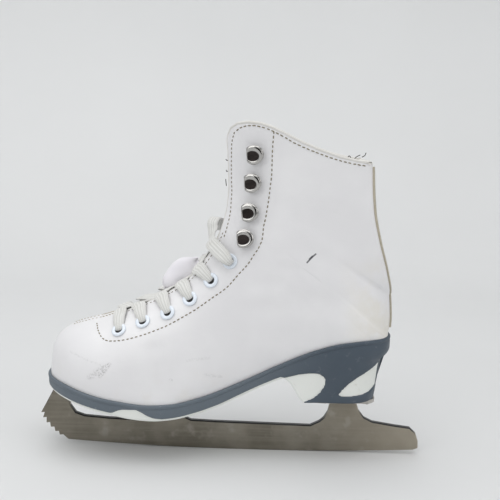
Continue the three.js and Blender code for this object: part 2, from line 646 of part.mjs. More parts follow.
// where the strands of eyelet row i and the next one cross
function crossing(i) {
  const edge = (t, medial) => skin(t, medial ? 2 - edgeTurn(t) : edgeTurn(t), LACE_LIFT);
  const near = edge(nearestEdge(EYELETS[i]), false);
  return near.lerp(edge(farEdge(EYELETS[i], EYELETS[i + 1]), true), 0.5);
}
function laceBars() {
  const made = [strand(EYELETS[0], EYELETS[0], false)];
  for (let i = 0; i < EYELETS.length - 1; i++)
    for (const medial of [false, true]) made.push(strand(EYELETS[i], EYELETS[i + 1], medial));
  return largest(all(...made));
}

// the free end: out of the top lateral eyelet, over the edge, and curled up in the throat
const LACE_END = [
  [-76.2, -32.8, 52], [-79.8, -30.8, 56], [-83.4, -28, 59.4], [-86.8, -24, 61.6], [-89.6, -18.4, 63.4],
  [-91.2, -11, 64.8], [-91.4, -5, 67], [-89.8, -1, 70.6], [-88, 2, 74.6], [-89, 5, 77.8], [-91.8, 7.4, 76.8],
  [-93.6, 9, 72.6], [-93.2, 10, 67.8],
];
const LACE_END_OUT = [
  [-0.28, -0.94, 0.22], [-0.4, -0.87, 0.27], [-0.54, -0.77, 0.32], [-0.69, -0.63, 0.36], [-0.81, -0.44, 0.38],
  [-0.9, 0, 0.4], [-0.88, 0.2, 0.35], [-0.85, 0.3, 0.35], [-0.8, 0.1, 0.5], [-0.4, 0.3, 0.85], [0.3, 0.5, 0.8],
  [0.9, 0.4, 0.2], [0.9, 0.4, 0],
];
function laceEnd() {
  const points = LACE_END.map(([x, y, z]) => new THREE.Vector3(gradeX(x), gradeY(y), level(z + PATTERN.seat)));
  return ribbon(points, LACE_END_OUT.map((out) => new THREE.Vector3(...out)));
}

// ---- Assembly ----
const COLOURS = {
  leather: 0xe6e4ea, slate: 0x5c6672, white: 0xe9ebe6, board: 0xcdb894, lining: 0xdcd8d0, steel: 0x8b877c,
  plate: 0x9c9a94, enamel: 0xd5dbe6, chrome: 0xb9babd, cotton: 0xe2ded2,
};
const root = new THREE.Group();
function add(name, body, colour) {
  const mesh = body.getMesh();
  const geometry = new THREE.BufferGeometry();
  const positions = new Float32Array(mesh.numVert * 3);
  for (let i = 0; i < mesh.numVert; i++)
    for (let k = 0; k < 3; k++) positions[3 * i + k] = mesh.vertProperties[i * mesh.numProp + k];
  geometry.setAttribute("position", new THREE.BufferAttribute(positions, 3));
  geometry.setIndex(new THREE.BufferAttribute(new Uint32Array(mesh.triVerts), 1));
  const made = new THREE.Mesh(geometry, new THREE.MeshStandardMaterial({ color: COLOURS[colour], roughness: 0.6 }));
  made.name = name;
  root.add(made);
}
const { band, core } = makeSole();
const plates = makePlates();
add("upper", makeUpper(form(0), form(-WALL)), "leather");
add("outsole", band, "slate");
add("sole_core", core, "white");
add("insole", makeInsole(), "board");
add("tongue", makeTongue(), "lining");
add("blade", makeBlade(), "steel");
add("blade_toe_plate", plates.fore, "plate");
add("blade_heel_plate", plates.heel, "plate");
for (const [name, body] of screws()) add(name, body, "plate");
for (const medial of [false, true]) {
  const sideName = medial ? "medial" : "lateral";
  EYELETS.forEach((where, i) => add(`eyelet_${sideName}_${i + 1}`, eyelet(where, medial), "enamel"));
  HOOKS.forEach((where, i) => add(`hook_${sideName}_${i + 1}`, hook(where, medial), "chrome"));
}
add("lace_bars", laceBars(), "cotton");
add("lace_end_lateral", laceEnd(), "cotton");
export default root;
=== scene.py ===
"""Looks of the left figure skate. Metres, in the CAD frame: +Z up, toe towards -X, lateral side towards -Y.
The last's functions work in millimetres, with heights over the ice, as the part's source does."""

import math

import bmesh
import bpy
import numpy as np
from mathutils import Matrix, Vector
from mathutils.geometry import tessellate_polygon


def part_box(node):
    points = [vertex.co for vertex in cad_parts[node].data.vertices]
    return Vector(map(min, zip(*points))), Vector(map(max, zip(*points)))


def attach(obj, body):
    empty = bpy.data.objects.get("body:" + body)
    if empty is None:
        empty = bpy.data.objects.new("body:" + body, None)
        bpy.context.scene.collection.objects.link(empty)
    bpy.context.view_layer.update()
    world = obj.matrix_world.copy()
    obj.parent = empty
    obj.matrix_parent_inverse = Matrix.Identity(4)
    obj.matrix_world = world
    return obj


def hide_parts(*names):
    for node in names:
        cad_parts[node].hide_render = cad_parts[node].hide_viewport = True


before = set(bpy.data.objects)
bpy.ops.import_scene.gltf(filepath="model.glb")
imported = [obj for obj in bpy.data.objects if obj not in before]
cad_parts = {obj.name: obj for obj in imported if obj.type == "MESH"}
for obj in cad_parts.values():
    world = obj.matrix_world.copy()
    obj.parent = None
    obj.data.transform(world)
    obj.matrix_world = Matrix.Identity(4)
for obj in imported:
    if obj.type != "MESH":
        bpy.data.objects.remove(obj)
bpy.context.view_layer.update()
RANDOM = np.random.default_rng(7)

# ---- Driving sizes, as in the part's source ----
MM = 0.001
SEAT = 83.2  # insole top over the ice
GAP = 0.3
WALL = 3
LEATHER = 1.5  # of the wall; the lining has the rest
RIM_WIDTH = 1.4
RIM_RISE = 2.2
BOTTOM_LAYER = 1.6
HEEL_TIP = 32
TOE_TIP = -194.6
HEEL_BOTTOM = 41.6
BLADE = 4
PLATE = 2.5


# ---- Smooth functions ----
class Curve:
    """Smooth function through (x, y) points with no overshoot."""

    def __init__(self, points):
        self.x, self.y = np.array(points, float).T
        self.step = np.diff(self.x)
        slope = np.diff(self.y) / self.step
        tangent = [slope[0]]
        for i in range(1, len(self.x) - 1):
            before, after = slope[i - 1], slope[i]
            w1 = 2 * self.step[i] + self.step[i - 1]
            w2 = self.step[i] + 2 * self.step[i - 1]
            tangent.append(0 if before * after <= 0 else (w1 + w2) / (w1 / before + w2 / after))
        self.tangent = np.array(tangent + [slope[-1]])

    def __call__(self, x):
        x = np.clip(np.asarray(x, float), self.x[0], self.x[-1])
        i = np.clip(np.searchsorted(self.x, x) - 1, 0, len(self.step) - 1)
        u = (x - self.x[i]) / self.step[i]
        a = 2 * u**3 - 3 * u**2 + 1
        b = (u**3 - 2 * u**2 + u) * self.step[i]
        c = (u**3 - u**2) * self.step[i]
        return a * self.y[i] + (1 - a) * self.y[i + 1] + b * self.tangent[i] + c * self.tangent[i + 1]


def smoothstep(x, low, high):
    u = np.clip((np.asarray(x, float) - low) / (high - low), 0, 1)
    return u * u * (3 - 2 * u)


def smooth_line(values, step):
    """Points every step along a Catmull-Rom line through rows whose first three numbers are a place."""
    v = np.array(values, float)
    v = np.vstack([2 * v[0] - v[1], v, 2 * v[-1] - v[-2]])
    made = []
    for i in range(1, len(v) - 2):
        count = max(2, int(np.linalg.norm(v[i + 1, :3] - v[i, :3]) / step) + 1)
        u = np.linspace(0, 1, count, endpoint=False)[:, None]
        a, b, c, d = v[i - 1 : i + 3]
        made.append(
            0.5 * (2 * b + (c - a) * u + (2 * a - 5 * b + 4 * c - d) * u**2 + (3 * b - a - 3 * c + d) * u**3)
        )
    return np.vstack(made + [v[-2][None]])


# ---- The last ----
plan_half = Curve(
    [(-195, 38.4), (-150, 38.6), (-130, 38.2), (-115, 36.4), (-100, 32.8), (-80, 28.6), (-60, 26.4)]
    + [(-40, 26.3), (-20, 27.5), (0, 28.7), (15, 28.8), (32, 28.8)]
)
plan_middle = Curve(
    [
        (-195, 7), (-175, 4), (-150, 0.8), (-125, -1), (-100, -1.8), (-70, -2),
        (-40, -1.5), (-10, -0.3), (32, 0),
    ]
)
rim_top = Curve(
    [(-196, 50.8), (-181, 49.6), (-168, 47), (-148.7, 43.4), (-123, 40.9), (-110, 41.4), (-91, 45.4)]
    + [(-65.7, 55.3), (-40.5, 67.5), (-15.4, 78.3), (2, 83.1), (16, 84.6), (34, 84.8)]
)
sole_bottom = Curve(
    [(-196, 42), (-188, 40.8), (-180, 39.4), (-168, 37), (-150, 33.8), (-135, 31), (-120, 30)]
    + [(-108, 30.8), (-97, 33), (-81, 38.2), (-65.5, 45.6), (-50, 53.2), (-37, 58.4), (-20, 61.4)]
)


def round_end(distance, reach, power):
    share = np.clip(np.asarray(distance, float) / reach, 0, 1)
    return (1 - (1 - share) ** power) ** (1 / power)


def half_plan(x):
    return plan_half(x) * round_end(x - TOE_TIP, 43, 2.1) * round_end(HEEL_TIP - x, 29, 2.15)


def footbed(x):
    return rim_top(x) - RIM_RISE - 0.6 * smoothstep(x, -60, -10)


# foot end x, h; crest end x, h; half width; where it is widest; roundness of the crest and of the foot end
SECTIONS = np.array(
    [
        (-194.4, 0, -194.4, 60, 0, 0.4, 2.5, 2),
        (-193.2, 0, -193.2, 68.5, 0, 0.38, 2.45, 2),
        (-190.2, 0, -190.4, 74.6, 0, 0.36, 2.4, 2),
        (-185, 0, -185.4, 79.6, 0, 0.35, 2.35, 2),
        (-177, 0, -177.8, 84, 0, 0.34, 2.35, 2),
        (-167, 0, -168, 87.3, 0, 0.33, 2.3, 2),
        (-154, 0, -155.4, 91.1, 0, 0.32, 2.25, 2),
        (-140, 0, -143, 96.4, 0, 0.31, 2.3, 2),
        (-124, 0, -130, 102.8, 0, 0.31, 2.4, 2),
        (-104, 0, -116.2, 110.7, 36.4, 0.31, 2.6, 2),
        (-80, 0, -103, 120.4, 33, 0.34, 2.8, 2),
        (-52, 0, -93.1, 132.6, 31, 0.38, 3, 2),
        (-22, 0, -85.8, 145.6, 31.2, 0.42, 3, 2.1),
        (4, 0, -82.1, 157, 32.2, 0.45, 3, 2.15),
        (20, 72, -80.3, 165.4, 32.5, 0.46, 3, 2.2),
        (28.5, 75.4, -79.6, 171, 32.5, 0.46, 3, 2.25),
        (32.3, 83, -79.4, 176.2, 32.3, 0.46, 3, 2.25),
        (33.3, 94, -79.2, 181.4, 32, 0.46, 3, 2.2),
        (32.2, 110, -79.6, 188, 31.6, 0.47, 3, 2.15),
        (27.2, 129, -79.9, 195.2, 31.2, 0.48, 3, 2.1),
        (20.8, 149, -80.2, 202.6, 31.4, 0.49, 3, 2.05),
        (16.2, 168, -80.9, 210.8, 32.2, 0.5, 3, 2.05),
        (14.2, 186, -81.8, 219, 33.4, 0.5, 3, 2.05),
        (13.2, 204, -82.7, 227.1, 34.6, 0.5, 3, 2.05),
        (12.4, 222, -83.6, 235.2, 35.4, 0.5, 3, 2.05),
    ]
)
UNDERCUT = 6
BULGE = 0.6
BACK_SEAM = 0.5
WIDEST_AT = 0.4
TOP = len(SECTIONS) - 1
OPEN_ROWS = int((SECTIONS[:, 1] == 0).sum())
PLAN_ROWS = int((SECTIONS[:, 4] == 0).sum())
foot_x, foot_h, crest_x, crest_h, waist, widest, crest_round, foot_round = (
    Curve(list(enumerate(column))) for column in SECTIONS.T
)


def foot_half(t, fx, fh, half):
    """Half width at the foot end for which the side meets the plan's outline at the rim's height."""
    run = crest_x(t) - fx
    climb = crest_h(t) - fh
    share = np.zeros_like(t)
    for _ in range(6):
        share = np.maximum(rim_top(fx + run * share) - fh, 0) / climb
    plan = half_plan(fx + run * share)
    power = foot_round(t)
    grown = (1 - (1 - np.minimum(share / widest(t), 0.95)) ** power) ** (1 / power)
    return np.maximum(np.maximum((plan - half * grown) / (1 - grown), 0.4 * plan), BACK_SEAM)


def section(t):
    """Foot end, crest end, half width, half width at the foot and middle line of the sections t."""
    fx = foot_x(t)
    mix = smoothstep(t, OPEN_ROWS - 1, OPEN_ROWS)
    opened = (footbed(fx) - UNDERCUT) * (1 - mix) + SECTIONS[OPEN_ROWS, 1] * mix
    fh = np.where(t >= OPEN_ROWS, foot_h(t), opened)
    blend = smoothstep(t, PLAN_ROWS - 1, PLAN_ROWS)
    later = np.where(t >= PLAN_ROWS, waist(t), SECTIONS[PLAN_ROWS, 4])
    half = (half_plan(fx) + BULGE) * (1 - blend) + later * blend
    return fx, fh, crest_x(t), crest_h(t), half, foot_half(t, fx, fh, half), plan_middle(fx)


def bare(t, turn):
    """The last's surface. turn is 0 at the lateral foot end, 1 at the crest and 2 at the medial foot end."""
    t, turn = np.broadcast_arrays(np.asarray(t, float), np.asarray(turn, float))
    fx, fh, cx, ch, half, fhalf, middle = section(t)
    u = np.minimum(turn, 2 - turn)
    low = np.clip(u / WIDEST_AT, 0, 1) * np.pi / 2
    high = np.clip((u - WIDEST_AT) / (1 - WIDEST_AT), 0, 1) * np.pi / 2
    f, c, w = foot_round(t), crest_round(t), widest(t)
    below = u < WIDEST_AT
    cos_low, cos_high = np.maximum(np.cos(low), 0), np.maximum(np.cos(high), 0)
    along = np.where(below, w * (1 - cos_low ** (2 / f)), w + (1 - w) * np.sin(high) ** (2 / c))
    wide = np.where(below, fhalf + (half - fhalf) * np.sin(low) ** (2 / f), half * cos_high ** (2 / c))
    y = middle + np.where(turn > 1, wide, -wide)
    return np.stack([fx + (cx - fx) * along, y, fh + (ch - fh) * along - SEAT], -1)


def unit(v):
    return v / np.maximum(np.linalg.norm(v, axis=-1, keepdims=True), 1e-9)


def normal(t, turn):
    t, turn = np.broadcast_arrays(np.asarray(t, float), np.asarray(turn, float))
    e = 0.06
    along_t = bare(np.minimum(t + e, TOP), turn) - bare(np.maximum(t - e, 0), turn)
    along_turn = bare(t, np.minimum(turn + e, 2)) - bare(t, np.maximum(turn - e, 0))
    return unit(np.cross(along_t, along_turn))


def skin(t, turn, lift=0):
    return bare(t, turn) + normal(t, turn) * np.asarray(lift, float)[..., None]


SAMPLE_T, SAMPLE_TURN = np.meshgrid(np.linspace(4, TOP, 420), np.linspace(0.02, 1, 200), indexing="ij")
SAMPLES = bare(SAMPLE_T, SAMPLE_TURN)[..., [0, 2]]


def locate(points):
    """(t, turn) on the lateral skin of side view points (x, height over the ice)."""
    found = []
    for x, h in points:
        wanted = np.array([x, h - SEAT])
        at = np.unravel_index(((SAMPLES - wanted) ** 2).sum(-1).argmin(), SAMPLE_T.shape)
        place = np.array([SAMPLE_T[at], SAMPLE_TURN[at]])
        for _ in range(4):
            here = bare(*place)[[0, 2]]
            by_t = (bare(place[0] + 0.01, place[1])[[0, 2]] - here) / 0.01
            by_turn = (bare(place[0], place[1] - 0.002)[[0, 2]] - here) / -0.002
            slope = np.stack([by_t, by_turn], 1)
            if abs(np.linalg.det(slope)) < 1:
                break
            move = np.linalg.solve(slope, wanted - here)
            place = place + np.clip(move, -0.05, 0.05)
            place[1] = min(place[1], 1)
        found.append(place)
    return np.array(found)


def line_on_skin(points, step, lift=0.0, medial=False):
    """Places and outward directions along a line drawn in the side view."""
    marks = locate(points)
    turn = 2 - marks[:, 1] if medial else marks[:, 1]
    rows = np.column_stack([bare(marks[:, 0], turn), marks[:, 0], turn])
    line = smooth_line(rows, step)
    t, turn = line[:, 3], line[:, 4]
    return skin(t, turn, lift), normal(t, turn)


# ---- Meshes ----
def mesh_object(name, vertices, faces, shader, sharp=40.0, weld=False, uv=None):
    """A mesh from points in millimetres, smooth but for edges sharper than so many degrees."""
    mesh = bpy.data.meshes.new(name)
    mesh.from_pydata((np.asarray(vertices, float) * MM).tolist(), [], [list(f) for f in faces])
    if uv is not None:
        layer = mesh.uv_layers.new(name="UVMap")
        loops = np.empty(len(mesh.loops), np.int32)
        mesh.loops.foreach_get("vertex_index", loops)
        layer.data.foreach_set("uv", np.asarray(uv, np.float32)[loops].ravel())
    built = bmesh.new()
    built.from_mesh(mesh)
    if weld:
        bmesh.ops.remove_doubles(built, verts=built.verts, dist=2e-6)
        bmesh.ops.dissolve_degenerate(built, edges=built.edges, dist=1e-7)
    bmesh.ops.recalc_face_normals(built, faces=built.faces)
    limit = math.radians(sharp)
    for edge in built.edges:
        edge.smooth = not (len(edge.link_faces) == 2 and edge.calc_face_angle(0) > limit)
    for face in built.faces:
        face.smooth = True
    built.to_mesh(mesh)
    built.free()
    mesh.materials.append(shader)
    made = bpy.data.objects.new(name, mesh)
    bpy.context.scene.collection.objects.link(made)
    return made


def grid_faces(rows, columns, start=0, flip=False):
    i, j = np.meshgrid(np.arange(rows - 1), np.arange(columns - 1), indexing="ij")
    a = start + i * columns + j
    quads = np.stack([a, a + 1, a + columns + 1, a + columns], -1).reshape(-1, 4)
    return (quads[:, ::-1] if flip else quads).tolist()


def ring_faces(rings, sides, closed=False, capped=False):
    """Quads between one ring of points and the next, and flat ends."""
    faces = []
    for i in range(rings if closed else rings - 1):
        k = (i + 1) % rings
        faces += [
            (i * sides + j, i * sides + (j + 1) % sides, k * sides + (j + 1) % sides, k * sides + j)
            for j in range(sides)
        ]
    if capped:
        last = (rings - 1) * sides
        faces += [tuple(range(sides)), tuple(last + j for j in reversed(range(sides)))]
    return faces


def slab(over, under):
    """Vertices and faces of a sheet between two grids of points."""
    n, m = over.shape[:2]
    size = n * m
    faces = grid_faces(n, m) + grid_faces(n, m, size, True)
    for i in range(n - 1):
        faces += [(i * m, (i + 1) * m, size + (i + 1) * m, size + i * m)]
        faces += [((i + 1) * m - 1, (i + 2) * m - 1, size + (i + 2) * m - 1, size + (i + 1) * m - 1)]
    last = (n - 1) * m
    for j in range(m - 1):
        faces += [(j, j + 1, size + j + 1, size + j)]
        faces += [(last + j, last + j + 1, size + last + j + 1, size + last + j)]
    return np.concatenate([over.reshape(-1, 3), under.reshape(-1, 3)]), faces


def sweep(points, outs, profile, closed=False):
    """Vertices, faces and uv of a profile carried along points.

    A profile is (across, out) pairs, or one set a point.
    """
    points, outs = np.asarray(points, float), np.asarray(outs, float)
    profile = np.asarray(profile, float)
    if profile.ndim == 2:
        profile = np.repeat(profile[None], len(points), 0)
    if closed:
        run = np.roll(points, -1, 0) - np.roll(points, 1, 0)
    else:
        run = np.gradient(points, axis=0)
    run = unit(run)
    outs = unit(outs - run * (outs * run).sum(-1, keepdims=True))
    across = np.cross(run, outs)
    rings = points[:, None] + across[:, None] * profile[..., :1] + outs[:, None] * profile[..., 1:]
    n, m = rings.shape[:2]
    faces = ring_faces(n, m, closed, capped=not closed)
    length = np.concatenate([[0], np.cumsum(np.linalg.norm(np.diff(points, axis=0), axis=1))])
    uv = np.stack([np.repeat(np.linspace(0, 1, m)[None], n, 0), np.repeat(length[:, None], m, 1) * MM], -1)
    return rings.reshape(-1, 3), faces, uv.reshape(-1, 2)


def oval(wide, thick, sides=12, square=1.0, arch=0.0):
    """Profile of a flat oval; square under 1 fills its corners, arch bends its sides down."""
    a = np.linspace(0, 2 * np.pi, sides, endpoint=False)
    c, s = np.cos(a), np.sin(a)
    x = np.sign(c) * np.abs(c) ** square * wide / 2
    y = np.sign(s) * np.abs(s) ** square * thick / 2 - arch * (2 * x / wide) ** 2
    return np.stack([x, y], -1)


def lathe(profile, segments=40):
    """Vertices and faces of a closed (radius, height) profile turned round Z."""
    profile = np.asarray(profile, float)
    a = np.linspace(0, 2 * np.pi, segments, endpoint=False)
    rings = np.stack(
        [profile[:, :1] * np.cos(a), profile[:, :1] * np.sin(a), np.repeat(profile[:, 1:], segments, 1)], -1
    )
    return rings.reshape(-1, 3), ring_faces(len(profile), segments, closed=True)


def joined(parts):
    """One set of vertices and faces from several."""
    vertices, faces, start = [], [], 0
    for part in parts:
        vertices.append(np.asarray(part[0], float))
        faces += [[k + start for k in f] for f in part[1]]
        start += len(part[0])
    return np.vstack(vertices), faces


def put(part, origin, x, y, z):
    """A part with its own axes laid along x, y and z at origin."""
    return np.asarray(part[0]) @ np.stack([x, y, z]) + origin, part[1]


# ---- Shaders ----
class Shader:
    """Short ways to wire a procedural material in object coordinates."""

    def __init__(self, name, roughness=0.5, metallic=0.0, specular=0.5):
        self.material = bpy.data.materials.new(name)
        self.material.use_nodes = True
        self.tree = self.material.node_tree
        self.main = self.tree.nodes["Principled BSDF"]
        self.set("Roughness", roughness)
        self.set("Metallic", metallic)
        self.set("Specular IOR Level", specular)
        self.place = self.tree.nodes.new("ShaderNodeTexCoord").outputs["Object"]

    def link(self, socket, value):
        if isinstance(value, bpy.types.NodeSocket):
            self.tree.links.new(value, socket)
        elif isinstance(value, tuple) and len(value) == 3 and socket.type == "RGBA":
            socket.default_value = (*value, 1)
        else:
            socket.default_value = value

    def set(self, name, value):
        self.link(self.main.inputs[name], value)

    def node(self, kind, **inputs):
        made = self.tree.nodes.new(kind)
        for name, value in inputs.items():
            self.link(made.inputs[name.replace("_", " ")], value)
        return made

    def stretched(self, scale, place=None):
        made = self.node("ShaderNodeMapping", Vector=place or self.place)
        made.inputs["Scale"].default_value = scale
        return made.outputs["Vector"]

    def noise(self, scale, detail=3.0, rough=0.5, place=None, distortion=0.0):
        made = self.node("ShaderNodeTexNoise", Vector=place or self.place, Scale=scale, Detail=detail)
        made.inputs["Roughness"].default_value = rough
        made.inputs["Distortion"].default_value = distortion
        return made.outputs["Fac"]

    def cells(self, scale, place=None):
        return self.node("ShaderNodeTexVoronoi", Vector=place or self.place, Scale=scale).outputs["Distance"]

    def ramp(self, value, low, high, to_low=0.0, to_high=1.0):
        made = self.node("ShaderNodeMapRange", Value=value)
        made.interpolation_type = "SMOOTHSTEP"
        for name, number in zip(("From Min", "From Max", "To Min", "To Max"), (low, high, to_low, to_high)):
            made.inputs[name].default_value = number
        return made.outputs["Result"]

    def math(self, kind, a, b=0.0):
        made = self.tree.nodes.new("ShaderNodeMath")
        made.operation = kind
        self.link(made.inputs[0], a)
        self.link(made.inputs[1], b)
        return made.outputs[0]

    def mix(self, share, a, b):
        made = self.tree.nodes.new("ShaderNodeMix")
        made.data_type = "RGBA"
        self.link(made.inputs["Factor"], share)
        self.link(made.inputs[6], a)
        self.link(made.inputs[7], b)
        return made.outputs[2]

    def split(self, place=None):
        return self.node("ShaderNodeSeparateXYZ", Vector=place or self.place).outputs

    def bump(self, height, distance, strength=1.0, after=None):
        made = self.node("ShaderNodeBump", Height=height, Distance=distance, Strength=strength)
        if after is not None:
            self.link(made.inputs["Normal"], after)
        return made.outputs["Normal"]

    def stroke(self, start, end, width, soft):
        """1 near a side view stroke on the lateral side, 0 elsewhere; ends are (x, height over the ice)."""
        x, y, z = self.split()
        a = np.array([start[0], start[1] - SEAT]) * MM
        b = np.array([end[0], end[1] - SEAT]) * MM
        run = b - a
        px = self.math("SUBTRACT", x, float(a[0]))
        pz = self.math("SUBTRACT", z, float(a[1]))
        across = self.math("MULTIPLY", px, float(run[0]))
        dot = self.math("ADD", across, self.math("MULTIPLY", pz, float(run[1])))
        share = self.math("DIVIDE", dot, float(run @ run))
        share = self.math("MINIMUM", self.math("MAXIMUM", share, 0.0), 1.0)
        dx = self.math("SUBTRACT", px, self.math("MULTIPLY", share, float(run[0])))
        dz = self.math("SUBTRACT", pz, self.math("MULTIPLY", share, float(run[1])))
        squared = self.math("MULTIPLY", dx, dx)
        far = self.math("SQRT", self.math("ADD", squared, self.math("MULTIPLY", dz, dz)))
        near = self.ramp(far, width * MM, (width + soft) * MM, 1.0, 0.0)
        return self.math("MULTIPLY", near, self.math("LESS_THAN", y, -0.004))


SCUFFS = [  # start, end, width, softness, strength
    ((-162, 57.6), (-152.4, 62), 0.5, 2.2, 0.35),
    ((-158.4, 61.6), (-149, 66.4), 0.3, 1.6, 0.4),
    ((-155, 58.6), (-150, 66), 0.4, 1.4, 0.4),
    ((-176, 71), (-150, 64.4), 0.1, 1.0, 0.16),
    ((-100, 70.6), (-86, 72), 0.2, 1.2, 0.14),
    ((-88, 61), (-78, 59.6), 0.3, 1.4, 0.16),
    ((-110, 58), (-109.2, 57.6), 0.4, 0.8, 0.25),
]
NICK = [((-25.6, 135.4), (-22.8, 138.6)), ((-22.8, 138.6), (-20.4, 140.8)), ((-24.2, 137.6), (-22.4, 139.4))]


def leather():
    s = Shader("white_leather", roughness=0.42, specular=0.42)
    cloud = s.noise(18, 4, 0.55)
    colour = s.mix(s.ramp(cloud, 0.35, 0.7), (0.745, 0.738, 0.748), (0.80, 0.794, 0.80))
    x, _, z = s.split()
    # beige where the heel has been rubbed, and a little down by the sole
    heel = s.math("MULTIPLY", s.ramp(x, -0.012, 0.026), s.ramp(z, 0.075, 0.02))
    heel = s.math("MULTIPLY", heel, s.ramp(s.noise(42, 4, 0.6), 0.38, 0.66))
    colour = s.mix(s.math("MULTIPLY", heel, 0.55), colour, (0.72, 0.68, 0.58))
    low = s.math("MULTIPLY", s.ramp(z, -0.012, -0.04), s.ramp(s.noise(60, 4, 0.6), 0.45, 0.7))
    colour = s.mix(s.math("MULTIPLY", low, 0.25), colour, (0.70, 0.66, 0.60))
    rough = s.noise(900, 3, 0.7)
    for start, end, width, soft, strength in SCUFFS:
        mark = s.math("MULTIPLY", s.stroke(start, end, width, soft), s.ramp(rough, 0.42, 0.62))
        colour = s.mix(s.math("MULTIPLY", mark, strength), colour, (0.25, 0.24, 0.24))
    for start, end in NICK:
        colour = s.mix(s.math("MULTIPLY", s.stroke(start, end, 0.25, 0.5), 0.85), colour, (0.05, 0.05, 0.06))
    s.set("Base Color", colour)
    s.set("Roughness", s.ramp(s.noise(70, 4, 0.6), 0.3, 0.75, 0.36, 0.52))
    fine = s.bump(s.cells(1500), 0.00004, 0.5)
    folds = s.noise(70, 3, 0.5, s.stretched((0.6, 1, 1.6)), 0.6)
    s.set("Normal", s.bump(folds, 0.0004, 0.35, fine))
    return s.material


def lining():
    s = Shader("lining_cloth", roughness=0.85, specular=0.2)
    s.set("Base Color", s.mix(s.noise(400, 3), (0.62, 0.60, 0.55), (0.74, 0.72, 0.68)))
    s.set("Normal", s.bump(s.cells(900), 0.0001, 0.6))
    return s.material


def binding():
    s = Shader("edge_binding", roughness=0.55, specular=0.35)
    s.set("Base Color", s.mix(s.noise(120, 4), (0.60, 0.585, 0.54), (0.76, 0.745, 0.72)))
    s.set("Normal", s.bump(s.noise(700, 3), 0.0001, 0.5))
    return s.material


def thread():
    s = Shader("tan_thread", roughness=0.8, specular=0.2)
    s.set("Base Color", s.mix(s.noise(600, 2), (0.17, 0.15, 0.105), (0.30, 0.265, 0.195)))
    s.set("Normal", s.bump(s.noise(4000, 2), 0.00005, 0.6))
    return s.material


# Dark thread colour, also used as painted shade in the screw heads' cross slots
def dark_thread_and_slot_shade():
    s = Shader("dark_thread_and_slot_shade", roughness=0.8, specular=0.2)
    s.set("Base Color", s.mix(s.noise(900, 2), (0.03, 0.028, 0.026), (0.09, 0.085, 0.075)))
    return s.material


def eyelet_bore():
    s = Shader("eyelet_bore_shade", roughness=0.9, specular=0.1)
    s.set("Base Color", s.mix(s.noise(900, 2), (0.02, 0.02, 0.022), (0.06, 0.058, 0.056)))
    return s.material


def raw_edge():
    s = Shader("raw_leather_edge", roughness=0.8, specular=0.2)
    s.set("Base Color", s.mix(s.noise(500, 4, 0.7), (0.36, 0.32, 0.24), (0.56, 0.52, 0.43)))
    s.set("Normal", s.bump(s.noise(1800, 3), 0.0001, 0.7))
    return s.material


def slate():
    s = Shader("slate_rubber", roughness=0.5, specular=0.4)
    colour = s.mix(s.noise(30, 4), (0.104, 0.128, 0.152), (0.13, 0.156, 0.182))
    x = s.split()[0]
    colour = s.mix(s.ramp(x, -0.075, 0.0), colour, (0.062, 0.082, 0.106))
    dust = s.math("MULTIPLY", s.ramp(s.noise(220, 5, 0.7), 0.6, 0.78), 0.3)
    s.set("Base Color", s.mix(dust, colour, (0.42, 0.45, 0.5)))
    s.set("Roughness", s.ramp(s.noise(90, 4), 0.3, 0.7, 0.42, 0.6))
    s.set("Normal", s.bump(s.noise(1400, 3), 0.00003, 0.5))
    return s.material


def white_sole():
    s = Shader("white_sole", roughness=0.5, specular=0.4)
    colour = s.mix(s.noise(40, 4), (0.73, 0.75, 0.71), (0.81, 0.82, 0.79))
    grime = s.math("MULTIPLY", s.ramp(s.noise(150, 5, 0.7), 0.58, 0.76), 0.4)
    s.set("Base Color", s.mix(grime, colour, (0.5, 0.47, 0.4)))
    s.set("Normal", s.bump(s.noise(900, 3), 0.00003, 0.5))
    return s.material


def blade_steel():
    s = Shader("satin_blade_steel", metallic=0.9, roughness=0.4, specular=0.5)
    streaks = s.noise(1, 4, 0.6, s.stretched((14, 300, 420)))
    clouds = s.noise(26, 4, 0.6)
    colour = s.mix(s.ramp(clouds, 0.35, 0.68), (0.19, 0.172, 0.138), (0.29, 0.268, 0.222))
    colour = s.mix(s.ramp(streaks, 0.4, 0.8, 0.0, 0.5), colour, (0.33, 0.305, 0.26))
    blotch = s.ramp(s.noise(75, 3, 0.55), 0.56, 0.7, 0.0, 0.5)
    colour = s.mix(blotch, colour, (0.40, 0.375, 0.33))
    colour = s.mix(s.ramp(s.split()[0], -0.03, 0.05, 0.0, 0.55), colour, (0.47, 0.42, 0.34))
    scratch = s.ramp(s.noise(1, 2, 0.5, s.stretched((60, 300, 2600))), 0.7, 0.78)
    colour = s.mix(s.math("MULTIPLY", scratch, 0.3), colour, (0.5, 0.48, 0.44))
    # Faces turned upwards are painted near black and made not metallic: a painted reflection of the dark sole
    # underside above them
    up = s.node("ShaderNodeNewGeometry").outputs["Normal"]
    top = s.ramp(s.split(up)[2], 0.2, 0.45)
    s.set("Base Color", s.mix(top, colour, (0.006, 0.006, 0.006)))
    s.set("Metallic", s.ramp(top, 0.0, 1.0, 0.9, 0.0))
    s.set("Roughness", s.ramp(streaks, 0.3, 0.8, 0.34, 0.48))
    s.set("Normal", s.bump(streaks, 0.00003, 0.5))
    return s.material


def plate_steel():
    s = Shader("plate_steel", metallic=1.0, roughness=0.38)
    s.set("Base Color", s.mix(s.noise(60, 4), (0.42, 0.40, 0.37), (0.58, 0.56, 0.53)))
    s.set("Roughness", s.ramp(s.noise(300, 4), 0.3, 0.7, 0.3, 0.5))
    s.set("Normal", s.bump(s.noise(1, 3, 0.5, s.stretched((40, 900, 900))), 0.00003, 0.5))
    return s.material


def chrome():
    s = Shader("hook_chrome", metallic=1.0, roughness=0.1)
    s.set("Base Color", s.mix(s.noise(500, 3), (0.40, 0.39, 0.375), (0.52, 0.51, 0.49)))
    s.set("Roughness", s.ramp(s.noise(900, 3), 0.4, 0.7, 0.12, 0.2))
    return s.material


